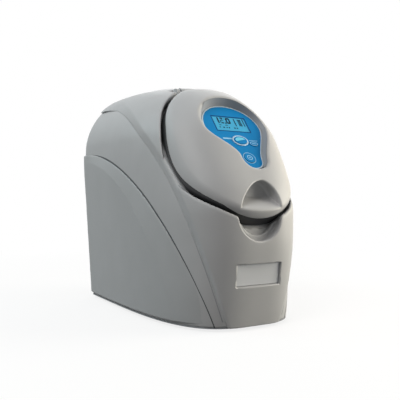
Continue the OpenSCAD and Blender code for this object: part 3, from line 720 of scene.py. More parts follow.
class Graph:
    """The node tree of a material or of the world."""

    def __init__(self, owner: bpy.types.Material | bpy.types.World) -> None:
        """Empties the owner's tree.

        Args:
            owner: The material or world that the nodes are for.
        """
        owner.use_nodes = True
        self.tree = owner.node_tree
        self.tree.nodes.clear()
        kind = "World" if isinstance(owner, bpy.types.World) else "Material"
        self.output = f"ShaderNodeOutput{kind}"

    def add(self, kind: str, settings: Mapping[str, object] | None = None,
            sockets: Mapping[str | int, object] | None = None) -> bpy.types.Node:
        """Adds one node.

        Args:
            kind: The node's type.
            settings: Its settings, such as a Math node's operation.
            sockets: Values or links of its inputs.

        Returns:
            The node.
        """
        node = self.tree.nodes.new(kind)
        for key, value in (settings or {}).items():
            setattr(node, key, value)
        for key, value in (sockets or {}).items():
            target = node.inputs[key]
            if isinstance(value, Wire):
                self.tree.links.new(value.socket, target)
            elif isinstance(value, bpy.types.NodeSocket):
                self.tree.links.new(value, target)
            elif target.type == "RGBA" and len(value) == 3:
                target.default_value = (*value, 1.0)
            else:
                target.default_value = value
        return node

    def close(self, shader: bpy.types.NodeSocket) -> None:
        """Gives the tree its output.

        Args:
            shader: What the surface or the world shows.
        """
        self.add(self.output, None, {"Surface": shader})

    def seen(self) -> Wire:
        """1 for what the camera, a gloss or a glass sees, and 0 for scattered light.

        Returns:
            The value, 0 or 1.
        """
        path = self.add("ShaderNodeLightPath").outputs
        rays = [Wire(self, path[f"Is {kind} Ray"]) for kind in ("Camera", "Glossy", "Transmission")]
        return (rays[0] + rays[1] + rays[2]) > 0.5

    def places(self, scale: Triple = (1, 1, 1)) -> bpy.types.NodeSocket:
        """The surface's own place in millimetres.

        Args:
            scale: How much each axis is stretched.

        Returns:
            The place as a vector.
        """
        spot = self.add("ShaderNodeTexCoord").outputs["Object"]
        size = tuple(k / MM for k in scale)
        return self.add("ShaderNodeVectorMath", {"operation": "MULTIPLY"}, {0: spot, 1: size}).outputs[0]

    def noise(self, size: float, detail: float = 2.0, stretch: Triple = (1, 1, 1)) -> Wire:
        """Noise from 0 to 1.

        Args:
            size: Width of a spot in millimetres.
            detail: How many finer layers it has.
            stretch: How much each axis is stretched.

        Returns:
            The noise.
        """
        sockets = {"Vector": self.places(stretch), "Scale": 1 / size, "Detail": detail, "Roughness": 0.55}
        return Wire(self, self.add("ShaderNodeTexNoise", None, sockets).outputs[0])

    def blend(self, share: Wire, first: Colour, second: Colour) -> bpy.types.NodeSocket:
        """Mixes two colours by a value from 0 to 1."""
        settings = {"data_type": "RGBA", "clamp_factor": True}
        return self.add("ShaderNodeMix", settings, {0: share, 6: first, 7: second}).outputs[2]

    def bump(self, height: Wire, depth: float, strength: float) -> bpy.types.NodeSocket:
        """Normals of a relief, depth in millimetres."""
        sockets = {"Strength": strength, "Distance": depth * MM, "Height": height}
        return self.add("ShaderNodeBump", None, sockets).outputs[0]


@dataclass(frozen=True)
class Finish:
    """What every finish has: a name and a main colour."""

    name: str
    colour: Colour

    def shade(self, graph: Graph) -> dict[str, object]:
        """The shader's inputs; each kind of finish has its own."""
        raise NotImplementedError

    def material(self) -> bpy.types.Material:
        """Makes the finish's material once.

        Returns:
            The material.
        """
        found = bpy.data.materials.get(self.name)
        if found is not None:
            return found
        material = bpy.data.materials.new(self.name)
        graph = Graph(material)
        shader = graph.add("ShaderNodeBsdfPrincipled", None, self.shade(graph))
        graph.close(shader.outputs[0])
        return material

    def darker(self, share: float) -> Colour:
        """The main colour with that share of it left."""
        return tuple(c * share for c in self.colour)


@dataclass(frozen=True)
class MouldedPlastic(Finish):
    """Matt moulded plastic with a fine spark-eroded grain."""

    roughness: float = 0.46
    grain: float = 0.7
    relief: float = 0.05
    spread: float = 0.05
    cloud_size: float = 38.0
    specular: float = 0.42

    def shade(self, graph: Graph) -> dict[str, object]:
        """Fine grain in the relief and the gloss, and a faint cloud in the colour.

        Args:
            graph: The material's nodes.

        Returns:
            The shader's inputs by name.
        """
        fine = graph.noise(self.grain, 3)
        cloud = graph.noise(self.cloud_size, 2)
        share = (cloud - 0.5) * 1.4 + (fine - 0.5) * 0.5 + 0.5
        return {
            "Base Color": graph.blend(share, self.darker(1 - self.spread), self.darker(1 + self.spread)),
            "Roughness": (fine - 0.5) * 0.16 + (cloud - 0.5) * 0.06 + self.roughness,
            "Normal": graph.bump(fine, self.relief, 0.35),
            "Specular IOR Level": self.specular,
        }


@dataclass(frozen=True)
class GlossFilm(Finish):
    """Printed film with a light sheen."""

    roughness: float = 0.45
    sheen: float = 0.1
    cloud_size: float = 16.0
    dot_size: float = 0.5

    def shade(self, graph: Graph) -> dict[str, object]:
        """An even print with a faint weave of dots under the sheen.

        Args:
            graph: The material's nodes.

        Returns:
            The shader's inputs by name.
        """
        cloud = graph.noise(self.cloud_size, 2)
        dots = graph.noise(self.dot_size, 1)
        share = (cloud - 0.5) * 0.9 + (dots - 0.5) * 0.35 + 0.5
        return {
            "Base Color": graph.blend(share, self.darker(0.9), self.darker(1.08)),
            "Roughness": (dots - 0.5) * 0.08 + self.roughness,
            "Specular IOR Level": self.sheen,
            "Normal": graph.bump(dots, 0.02, 0.15),
        }


@dataclass(frozen=True)
class LiquidCrystal(Finish):
    """A lit display field with a fine raster."""

    raster: float = 0.6
    row_share: float = 1.28
    line_level: float = 0.9
    cloud_size: float = 14.0
    roughness: float = 0.32
    sheen: float = 0.12

    def shade(self, graph: Graph) -> dict[str, object]:
        """Rows and columns of cells, a little darker between them.

        Args:
            graph: The material's nodes.

        Returns:
            The shader's inputs by name.
        """
        parts = graph.add("ShaderNodeSeparateXYZ", None, {0: graph.places()})
        turn = 2 * math.pi / self.raster
        across = (Wire(graph, parts.outputs[0]) * turn).wave()
        down = (Wire(graph, parts.outputs[2]) * (turn * self.row_share)).wave()
        lines = (across > self.line_level) + (down > self.line_level)
        cloud = graph.noise(self.cloud_size, 1)
        share = (cloud - 0.5) * 0.7 - lines * 0.12 + 0.6
        return {
            "Base Color": graph.blend(share, self.darker(0.78), self.darker(1.12)),
            "Roughness": lines * 0.05 + self.roughness,
            "Specular IOR Level": self.sheen,
        }


@dataclass(frozen=True)
class Metal(Finish):
    """Bare or plated metal, brushed, turned or cast."""

    roughness: float = 0.3
    metallic: float = 1.0
    mark: Triple = (1, 1, 1)
    mark_size: float = 0.8
    relief: float = 0.02
    cloud_size: float = 11.0

    def shade(self, graph: Graph) -> dict[str, object]:
        """Fine marks in the relief and the gloss, with a slow tarnish.

        Args:
            graph: The material's nodes.

        Returns:
            The shader's inputs by name.
        """
        marks = graph.noise(self.mark_size, 3, self.mark)
        cloud = graph.noise(self.cloud_size, 2)
        share = (cloud - 0.5) * 0.9 + (marks - 0.5) * 0.6 + 0.5
        return {
            "Base Color": graph.blend(share, self.darker(0.88), self.darker(1.06)),
            "Metallic": self.metallic,
            "Roughness": (marks - 0.5) * 0.18 + (cloud - 0.5) * 0.1 + self.roughness,
            "Normal": graph.bump(marks, self.relief, 0.3),
        }


@dataclass(frozen=True)
class SoftRubber(Finish):
    """Dull rubber with a dusty bloom."""

    pore_size: float = 0.6
    dust_size: float = 9.0
    roughness: float = 0.76
    relief: float = 0.06

    def shade(self, graph: Graph) -> dict[str, object]:
        """A dull face with pale dust in its pores.

        Args:
            graph: The material's nodes.

        Returns:
            The shader's inputs by name.
        """
        pores = graph.noise(self.pore_size, 3)
        dust = graph.noise(self.dust_size, 3)
        share = (dust - 0.4) * 1.2 + (pores - 0.5) * 0.5
        return {
            "Base Color": graph.blend(share, self.colour, self.darker(1.9)),
            "Roughness": (pores - 0.5) * 0.12 + self.roughness,
            "Normal": graph.bump(pores, self.relief, 0.45),
        }


@dataclass(frozen=True)
class CircuitBoard(Finish):
    """Green board with copper tracks under the lacquer."""

    track: Colour = (0.05, 0.22, 0.09)
    track_sizes: Pair = (2.2, 2.6)
    track_levels: Pair = (0.56, 0.58)
    track_long: float = 0.12
    roughness: float = 0.42
    relief: float = 0.05

    def shade(self, graph: Graph) -> dict[str, object]:
        """Straight tracks in both directions, seen through the lacquer.

        Args:
            graph: The material's nodes.

        Returns:
            The shader's inputs by name.
        """
        across = graph.noise(self.track_sizes[0], 1, (1, self.track_long, self.track_long))
        along = graph.noise(self.track_sizes[1], 1, (self.track_long, 1, 1))
        tracks = ((across > self.track_levels[0]) + (along > self.track_levels[1])) * 0.5
        return {
            "Base Color": graph.blend(tracks, self.colour, self.track),
            "Roughness": tracks * -0.12 + self.roughness,
            "Normal": graph.bump(tracks, self.relief, 0.4),
        }


@dataclass(frozen=True)
class WoundCopper(Finish):
    """Lacquered copper wire, wound in close turns."""

    turns: float = 1.1
    lean: float = 0.9
    cloud_size: float = 5.0
    metallic: float = 0.85
    roughness: float = 0.34
    relief: float = 0.3

    def shade(self, graph: Graph) -> dict[str, object]:
        """Close turns as a fine ribbing, with painted shade darkening the grooves between turns, and
        uneven lacquer.

        Args:
            graph: The material's nodes.

        Returns:
            The shader's inputs by name.
        """
        parts = graph.add("ShaderNodeSeparateXYZ", None, {0: graph.places()})
        way = Wire(graph, parts.outputs[0]) + Wire(graph, parts.outputs[1]) * self.lean
        rib = (way * (2 * math.pi / self.turns)).wave() * 0.5 + 0.5
        cloud = graph.noise(self.cloud_size, 2)
        return {
            # Painted shade: the colour darkens in the grooves between turns.
            "Base Color": graph.blend(rib * 0.6 + cloud * 0.4, self.darker(0.45), self.darker(1.1)),
            "Metallic": self.metallic,
            "Roughness": (cloud - 0.5) * 0.2 + self.roughness,
            "Normal": graph.bump(rib, self.relief, 0.5),
        }


class Paint(Enum):
    """The finishes of this unit, named for where they go."""

    CASE = MouldedPlastic("case_grey", screen(176, 177, 178))
    SIDE = MouldedPlastic("side_grey", screen(168, 170, 171))
    LID = MouldedPlastic("lid_grey", screen(178, 179, 180))
    COLLAR = MouldedPlastic("collar_moulding", screen(150, 152, 154), roughness=0.42)
    LINER = MouldedPlastic("liner_moulding", screen(196, 198, 199), roughness=0.4)
    DARK = MouldedPlastic("dark_moulding", screen(62, 64, 67), roughness=0.5)
    # Painted shade for the gap along the side panel's edge.
    SEAM = MouldedPlastic("seam_shade", screen(78, 81, 84), roughness=0.6)
    # Black for real parts, and for the painted gap shadow round the lid.
    BLACK = MouldedPlastic("black_moulding", screen(30, 31, 33), roughness=0.42)
    PLATE = MouldedPlastic("plate_moulding", screen(214, 217, 221), roughness=0.34, grain=0.4,
                           spread=0.03)
    RUBBER = SoftRubber("black_rubber", screen(34, 34, 36))
    FILM = GlossFilm("panel_film", screen(20, 130, 194))
    KEY_FILM = GlossFilm("key_blue", screen(24, 132, 196), roughness=0.4)
    PRINT = GlossFilm("pale_print", screen(150, 204, 236))
    # Colour of the painted highlight on the oval key.
    CYAN = GlossFilm("oval_cyan", screen(120, 212, 240), roughness=0.3)
    FRAME = GlossFilm("window_blue", screen(10, 70, 124))
    EDGE = GlossFilm("panel_line", screen(206, 222, 230))
    # Grey of the base tray, also used as painted shade on the recess wall and along the crease.
    TRIM = MouldedPlastic("trim_grey", screen(140, 143, 147), roughness=0.5, grain=0.5)
    GLASS = LiquidCrystal("display_cyan", screen(72, 176, 220))
    SEGMENT = GlossFilm("segment_dark", screen(8, 40, 62))
    RING = Metal("ring_silver", screen(176, 204, 222), roughness=0.28, metallic=0.7, relief=0.006)
    CHROME = Metal("guard_chrome", screen(206, 209, 212), roughness=0.2, relief=0.006)
    STEEL = Metal("steel_brushed", screen(190, 192, 195), roughness=0.3, mark=(1, 0.1, 1))
    TURNED = Metal("steel_turned", screen(198, 200, 203), roughness=0.24, mark=(0.3, 0.3, 2.2),
                   mark_size=0.6)
    CAST = Metal("cast_zinc", screen(150, 152, 156), roughness=0.46, mark_size=1.2, relief=0.08)
    ALLOY = Metal("alloy_turned", screen(120, 124, 130), roughness=0.36, mark=(0.3, 0.3, 2.4),
                  mark_size=0.5)
    MOTOR = Metal("motor_paint", screen(46, 48, 52), roughness=0.42, metallic=0.6, relief=0.05)
    COPPER = WoundCopper("wound_copper", screen(206, 122, 66))
    BOARD = CircuitBoard("board_lacquer", screen(18, 74, 44))
    ROCKER = GlossFilm("rocker_gloss", screen(168, 26, 28), roughness=0.34, sheen=0.4)


class Body(str, Enum):
    """The bodies that pieces move with."""

    BASE = "base"
    LID = "lid"
    OVAL_KEY = "oval_key"
    SMALL_KEY = "small_key"
    POWER_KEY = "power_key"


class Slot(str, Enum):
    """Names of the record's slots, handed along with new pieces; nothing reads them."""

    GREY = "grey"
    DARK = "dark_plastic"
    BLACK = "black_plastic"
    PANEL = "panel_blue"
    DISPLAY = "display"
    KEY = "key_silver"


class Side(Enum):
    """The two sides of the unit, by the sign of x."""

    LEFT = -1
    RIGHT = 1


@dataclass
class Dresser:
    """Puts finishes on pieces and hands them to the frame."""

    nodes: Mapping[str, bpy.types.Object]
    dressed: set[str] = field(default_factory=set)
    weld_gap: float = 0.01
    bevel_steps: int = 2

    def node(self, name: str, paint: Paint, bevel: float = 0.0, angle: float = 32.0) -> None:
        """Gives one CAD node its finish, welds its near points and, when asked, rolls its edges.

        Args:
            name: The node.
            paint: Its finish.
            bevel: Size of the rolled edges in millimetres, or 0.
            angle: Edges sharper than this are rolled, when there is a bevel.
        """
        piece = self.nodes[name]
        piece.data.materials.clear()
        piece.data.materials.append(paint.value.material())
        weld = piece.modifiers.new("weld", "WELD")
        weld.merge_threshold = self.weld_gap * MM
        if bevel:
            edge = piece.modifiers.new("edges", "BEVEL")
            edge.width = bevel * MM
            edge.segments = self.bevel_steps
            edge.limit_method = "ANGLE"
            edge.angle_limit = math.radians(angle)
            edge.harden_normals = False
        self.dressed.add(name)
        LOG.info("node %s: %s", name, paint.value.name)

    def piece(self, piece: bpy.types.Object, paint: Paint, body: Body, slot: Slot,
              stands_for: Sequence[str] = ()) -> None:
        """Dresses a new piece and lets it move with its body.

        Args:
            piece: The new piece.
            paint: Its finish.
            body: The body it moves with.
            slot: The record's slot for its finish; not used.
            stands_for: CAD nodes that it stands for.
        """
        piece.data.materials.clear()
        piece.data.materials.append(paint.value.material())
        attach(piece, body.value)
        if stands_for:
            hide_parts(*stands_for)
            self.dressed.update(stands_for)
        LOG.info("piece %s: %s, %d faces", piece.name, paint.value.name, len(piece.data.polygons))


@dataclass(frozen=True)
class SeamShadow:
    """Painted shadow of the gap along an arch of the side: a dark strip laid on the band."""

    name: str
    arch: SideArch
    across: Pair
    high: float
    paint: Paint
    points: int = 240
    end_turn: float = 1.53
    full_high: float = 120.0
    foot_share: float = 0.35
    taper_turn: float = 0.2
    taper_share: float = 0.05
    span: Pair = (20.0, 92.0)
    clear: float = 0.15

    def draw(self, side: Side, depth: Form) -> bpy.types.Object:
        """Lays the strip on the band, tapering in at its upper end.

        Args:
            side: The side it lies on.
            depth: How far the band lies under the body's skin.

        Returns:
            The strip.
        """
        arch = self.arch
        start_turn = math.acos(min((self.high / arch.tall) ** (arch.power / 2), 1))
        turn = np.linspace(start_turn, self.end_turn, self.points)
        y, z = np.sin(turn), np.cos(turn) ** (2 / arch.power)
        way = np.stack([-2 * y / arch.run, arch.power * z ** (arch.power - 1) / arch.tall], axis=1)
        wide = np.clip(arch.tall * z / self.full_high, self.foot_share, 1)
        wide *= np.clip((turn - turn[0]) / self.taper_turn, self.taper_share, 1)
        way *= (wide / np.linalg.norm(way, axis=1))[:, None]
        near, far = (np.full(self.points, x) for x in self.span)

        def inside(x: Grid) -> Grid:
            """Whether the places at x lie inside the band."""
            p = np.column_stack([x, spot])
            return BODY.skin(p) + depth(p) < self.clear

        rows = []
        for off in self.across:
            spot = np.stack([arch.back - arch.run * y, arch.tall * z], axis=1) + off * way
            rows.append(np.column_stack([side.value * furthest(inside, near, far), spot]))
        return ribbon(f"{side.name.lower()}_{self.name}", rows, False)


@dataclass
class Casing:
    """The outer mouldings of the base: cowl, bands and side panels."""

    step: float = 1.5
    skin: float = 2.0
    wall: float = 2.5
    inner_x: float = 20.0
    outer_x: float = 92.0
    net_room: float = 4.0
    net_low: float = 1.0
    back_gap: float = 0.08
    edge_roll: float = 1.0
    inner_roll: float = 0.5
    opening: Pair = (68.5, 90.0)
    opening_power: float = 2.15
    opening_end: float = 86.0
    swing_room: float = 1.5
    well: Triple = (32.0, 60.0, 97.0)
    floor_n: float = -14.5
    lip: float = 4.6
    notch_r: float = 24.5
    notch_z: float = 109.13
    notch_back: float = -116.072
    notch_step: float = 5.4
    notch_ledge: float = 3.2
    notch_high: float = 12.0
    notch_rolls: Pair = (1.6, 1.8)
    plate: Pair = (49.0, 20.0)
    plate_deep: float = 2.4
    plate_gap: float = 0.6
    plate_reach: float = 30.0
    skirt: float = 3.0
    band_edge: float = 1.2
    band_dip: float = 1.2
    band_fade: Triple = (110.0, 12.0, 70.0)
    band_tuck: float = 6.0
    band_low: float = 4.5
    band_roll: float = 0.8
    crease_wide: Pair = (2.5, 8.5)
    crease_high: float = 120.0
    crease_fade: Pair = (2.0, 40.0)
    crease_clear: float = 0.1
    crease_steep: float = 0.55
    crease_rolls: Pair = (0.4, 1.2)
    panel_low: float = 6.6
    panel_proud: float = 0.42
    panel_bevel: float = 3.0
    panel_fade: float = 50.0
    panel_gap: float = 0.4
    panel_rolls: Pair = (1.8, 1.2)
    rear_room: float = 14.0
    rear_wall: float = 2.7
    rear_shelf: Pair = (3.0, 5.0)
    rear_points: int = 180
    seen_deep: float = 2.8
    seen_hole: Pair = (0.8, 0.4)
    seen_notch: Pair = (3.0, -112.0)
    seen_plate: Pair = (1.5, 20.0)
    seen_rear: float = 0.6
    seen_band: float = 12.0
    seen_panel: float = 1.6
    seen_x: float = 22.0
    # Painted shadow in the gaps along the side panel's edge and the crease.
    seam_shadows: tuple[SeamShadow, ...] = (
        SeamShadow("panel_seam", PANEL_ARCH, (-0.9, 1.2), 179.0, Paint.SEAM),
        SeamShadow("band_seam", CREASE, (-0.7, 0.5), 100.0, Paint.TRIM),
    )
    rear: FlatShape = field(init=False, repr=False)

    def __post_init__(self) -> None:
        """Measures the body's outline at its back."""
        z = np.linspace(0, BODY.height, self.rear_points)
        x = np.interp(z, np.linspace(0, BODY.height, BODY.count), BODY.tables[0])
        right, left = np.stack([x, z], 1), np.stack([-x, z], 1)
        self.rear = FlatShape(np.concatenate([right, left[::-1]]), step=1.0, margin=12.0)

    def hole(self, q: Grid) -> Grid:
        """Distance to the lid opening and its hinge well.

        Args:
            q: Points in the lid's frame, one a row.

        Returns:
            Distances, negative inside.
        """
        u, v, n = q.T
        length = np.where(v > 0, self.opening[1] + self.swing_room, self.opening[1])
        wide, low, high = self.well
        mouth = ellipse(u, v, self.opening[0], length, self.opening_power)
        mouth = np.maximum(mouth, v - self.opening_end)
        well = block((-wide, low), (wide, high), (u, v))
        return np.maximum(np.minimum(mouth, well), self.floor_n - n)

    def from_notch(self, p: Grid) -> Grid:
        """How far points lie from the finger notch's middle line, seen from the front."""
        return np.hypot(p[:, 0], np.minimum(p[:, 2] - self.notch_z, 0))

    def notch(self, p: Grid) -> Grid:
        """Distance to the half round finger notch with its inner step.

        Args:
            p: Points, one a row.

        Returns:
            Distances, negative inside.
        """
        far = self.from_notch(p)
        top = p[:, 2] - self.notch_z - self.notch_high
        mouth = np.maximum(far - self.notch_r, p[:, 1] - self.notch_back + self.notch_ledge)
        deep = np.maximum(far - self.notch_r + self.notch_step, p[:, 1] - self.notch_back)
        return np.maximum(-roll(-mouth, -deep, self.notch_rolls[0]), top)

    def plate_room(self, p: Grid) -> Grid:
        """Distance to the recess of the name plate.

        Args:
            p: Points, one a row.

        Returns:
            Distances, negative inside.
        """
        wide, tall = (size / 2 + self.plate_gap for size in self.plate)
        high = (wide, tall, self.plate_reach)
        return block((-wide, -tall, -self.plate_deep), high, PLATE_FRAME.local(p).T)

    def rear_space(self, p: Grid) -> Grid:
        """Distance to the room for the rear panel, negative inside."""
        return BODY.back - self.rear_room - p[:, 1]

    def rear_rim(self, p: Grid) -> Grid:
        """Whether points lie on the wall round the rear panel."""
        return p[:, 1] > BODY.back - self.rear_room + self.seen_rear

    def end_back(self, form: Grid, p: Grid, rolled: float) -> Grid:
        """Ends a form just before the body's back, with a rolled edge."""
        return roll(form, p[:, 1] - BODY.back + self.back_gap, rolled)

    def band_depth(self, p: Grid) -> Grid:
        """How far the bands lie under the skin: more towards the crease, less at the back and foot.

        Args:
            p: Points, one a row.

        Returns:
            Depths.
        """
        arch, crease = PANEL_ARCH.distance(p), CREASE.distance(p)
        share = np.clip(arch / np.maximum(arch - crease, 1e-3), 0, 1)
        back, foot, rise = self.band_fade
        fade = np.clip((BODY.back - p[:, 1]) / back, 0, 1) * np.clip((p[:, 2] - foot) / rise, 0, 1)
        return self.skin + fade * (self.band_edge + share * self.band_dip)

    def cowl_form(self, p: Grid) -> Grid:
        """Distance to the cowl.

        Args:
            p: Points, one a row.

        Returns:
            Distances, negative inside.
        """
        skin, crease = BODY.skin(p), CREASE.distance(p)
        foot, more = self.crease_wide
        wide = foot + more * np.clip(p[:, 2] / self.crease_high, 0, 1)
        before, over = self.crease_fade
        fade = np.clip((BODY.back - self.rear_room - before - p[:, 1]) / over, 0, 1)
        drop = (self.band_depth(p) + self.crease_clear) * fade
        form = self.end_back(skin, p, self.edge_roll)
        form = roll(form, skin + drop * (1 - crease / wide), self.crease_rolls[0])
        form = roll(form, -self.crease_steep * crease, self.crease_rolls[1])
        form = roll(form, self.skirt - p[:, 2], self.edge_roll)
        form = cut(form, self.hole(LID_FRAME.local(p)), self.lip)
        form = cut(form, self.notch(p), self.notch_rolls[1])
        form = cut(form, self.plate_room(p), self.edge_roll)
        shelf = np.minimum(self.rear_shelf[0] - crease, skin + self.rear_shelf[1])
        inner = np.maximum(self.rear.distance(p[:, 0], p[:, 2]) + self.rear_wall, shelf)
        return cut(form, np.maximum(inner, self.rear_space(p)), self.inner_roll)

    def cowl_seen(self, p: Grid) -> Grid:
        """Whether points of the cowl can be seen.

        Args:
            p: Points, one a row.

        Returns:
            True for each point that can.
        """
        q = LID_FRAME.local(p)
        near, over = self.seen_hole
        edge = (np.abs(self.hole(q)) < near) & (q[:, 2] > self.floor_n + over)
        near, end = self.seen_notch
        notch = (self.from_notch(p) < self.notch_r + near) & (p[:, 1] < end)
        near, deep = self.seen_plate
        plate = (self.plate_room(p) < near) & (p[:, 1] < BODY.front + deep)
        return (BODY.skin(p) > -self.skin - self.seen_deep) | edge | notch | plate | self.rear_rim(p)

    def band_form(self, p: Grid) -> Grid:
        """Distance to the bands under the crease.

        Args:
            p: Points, one a row.

        Returns:
            Distances, negative inside.
        """
        skin = BODY.skin(p) + self.band_depth(p)
        form = self.end_back(skin, p, self.band_roll)
        form = roll(form, CREASE.distance(p) - self.band_tuck, self.edge_roll)
        form = roll(form, self.band_low - p[:, 2], self.band_roll)
        return cut(form, np.maximum(skin + self.wall, self.rear_space(p)), self.inner_roll)

    def band_seen(self, p: Grid) -> Grid:
        """Whether points of a band can be seen.

        Args:
            p: Points, one a row.

        Returns:
            True for each point that can.
        """
        outer = (BODY.skin(p) > -self.skin - self.seen_deep) & (np.abs(p[:, 0]) > self.seen_x)
        shown = (PANEL_ARCH.distance(p) > -self.seen_band) | (p[:, 2] < self.seen_band)
        return (outer & shown) | self.rear_rim(p)

    def panel_form(self, p: Grid) -> Grid:
        """Distance to the side panels.

        Args:
            p: Points, one a row.

        Returns:
            Distances, negative inside.
        """
        skin = BODY.skin(p)
        face, edge = PANEL_FACE.distance(p), PANEL_ARCH.distance(p)
        share = np.clip(face / np.maximum(face - edge, 1e-3), 0, 1)
        bevel = self.panel_bevel * np.clip((BODY.back - p[:, 1]) / self.panel_fade, 0, 1)
        form = self.end_back(skin - self.panel_proud + bevel * share, p, self.edge_roll)
        form = roll(form, edge + self.panel_gap, self.panel_rolls[0])
        form = roll(form, self.panel_low - p[:, 2], self.panel_rolls[1])
        return cut(form, np.maximum(skin + self.skin, self.rear_space(p)), self.inner_roll)

    def panel_seen(self, p: Grid) -> Grid:
        """Whether points of a side panel can be seen."""
        outer = BODY.skin(p) > -self.skin - self.seen_panel
        return (outer | self.rear_rim(p)) & (np.abs(p[:, 0]) > self.seen_x)

    def draw_side(self, name: str, side: Side, form: Form, seen: Form) -> bpy.types.Object:
        """Draws one side's moulding out of a form that both sides share.

        Args:
            name: The piece's name.
            side: The side to draw.
            form: Distance to the mouldings of both sides.
            seen: Whether points can be seen.

        Returns:
            The moulding.
        """
        near, far = self.inner_x - 2, self.outer_x
        low_x, high_x = (-far, -near) if side is Side.LEFT else (near, far)
        net = SkinNet(lambda p: np.maximum(form(p), self.inner_x - side.value * p[:, 0]),
                      (low_x, BODY.front - self.net_room, self.net_low),
                      (high_x, BODY.back + self.net_room, BODY.height + self.net_room), self.step)
        return to_mesh(name, *net.draw(seen))

    def build(self, dresser: Dresser) -> None:
        """Draws the mouldings and the strips of painted seam shadow, and dresses the tray, feet, rear
        panel and plate.

        Args:
            dresser: Puts the finishes on.
        """
        room = self.net_room
        net = SkinNet(self.cowl_form, (-self.outer_x, BODY.front - room, self.net_low),
                      (self.outer_x, BODY.back + room, BODY.height + room), self.step)
        cowl = to_mesh("cowl_skin", *net.draw(self.cowl_seen))
        dresser.piece(cowl, Paint.CASE, Body.BASE, Slot.GREY, ["cowl"])
        for side in Side:
            name = side.name.lower()
            band = self.draw_side(f"{name}_band", side, self.band_form, self.band_seen)
            dresser.piece(band, Paint.CASE, Body.BASE, Slot.GREY, [f"{name}_housing"])
            panel = self.draw_side(f"{name}_panel", side, self.panel_form, self.panel_seen)
            dresser.piece(panel, Paint.SIDE, Body.BASE, Slot.GREY, [f"{name}_side_panel"])
            # Dark strips of painted gap shadow along both arches.
            for seam_shadow in self.seam_shadows:
                dresser.piece(seam_shadow.draw(side, self.band_depth), seam_shadow.paint, Body.BASE, Slot.DARK)
        dresser.node("name_plate", Paint.PLATE, 0.25)
        dresser.node("base_tray", Paint.TRIM)
        dresser.node("rubber_feet", Paint.RUBBER, 0.4)
        dresser.node("rear_panel", Paint.CASE)
        dresser.node("tray_screws", Paint.STEEL)
        dresser.node("rear_screws", Paint.STEEL)


@dataclass(frozen=True)
class Print:
    """A thin sheet on a face, for print and for the oval key's painted highlight: closed lines, with inner
    lines as holes.
    """

    name: str
    lines: Sequence[Grid]
    face: float
    paint: Paint
    body: Body = Body.LID
    slot: Slot = Slot.PANEL


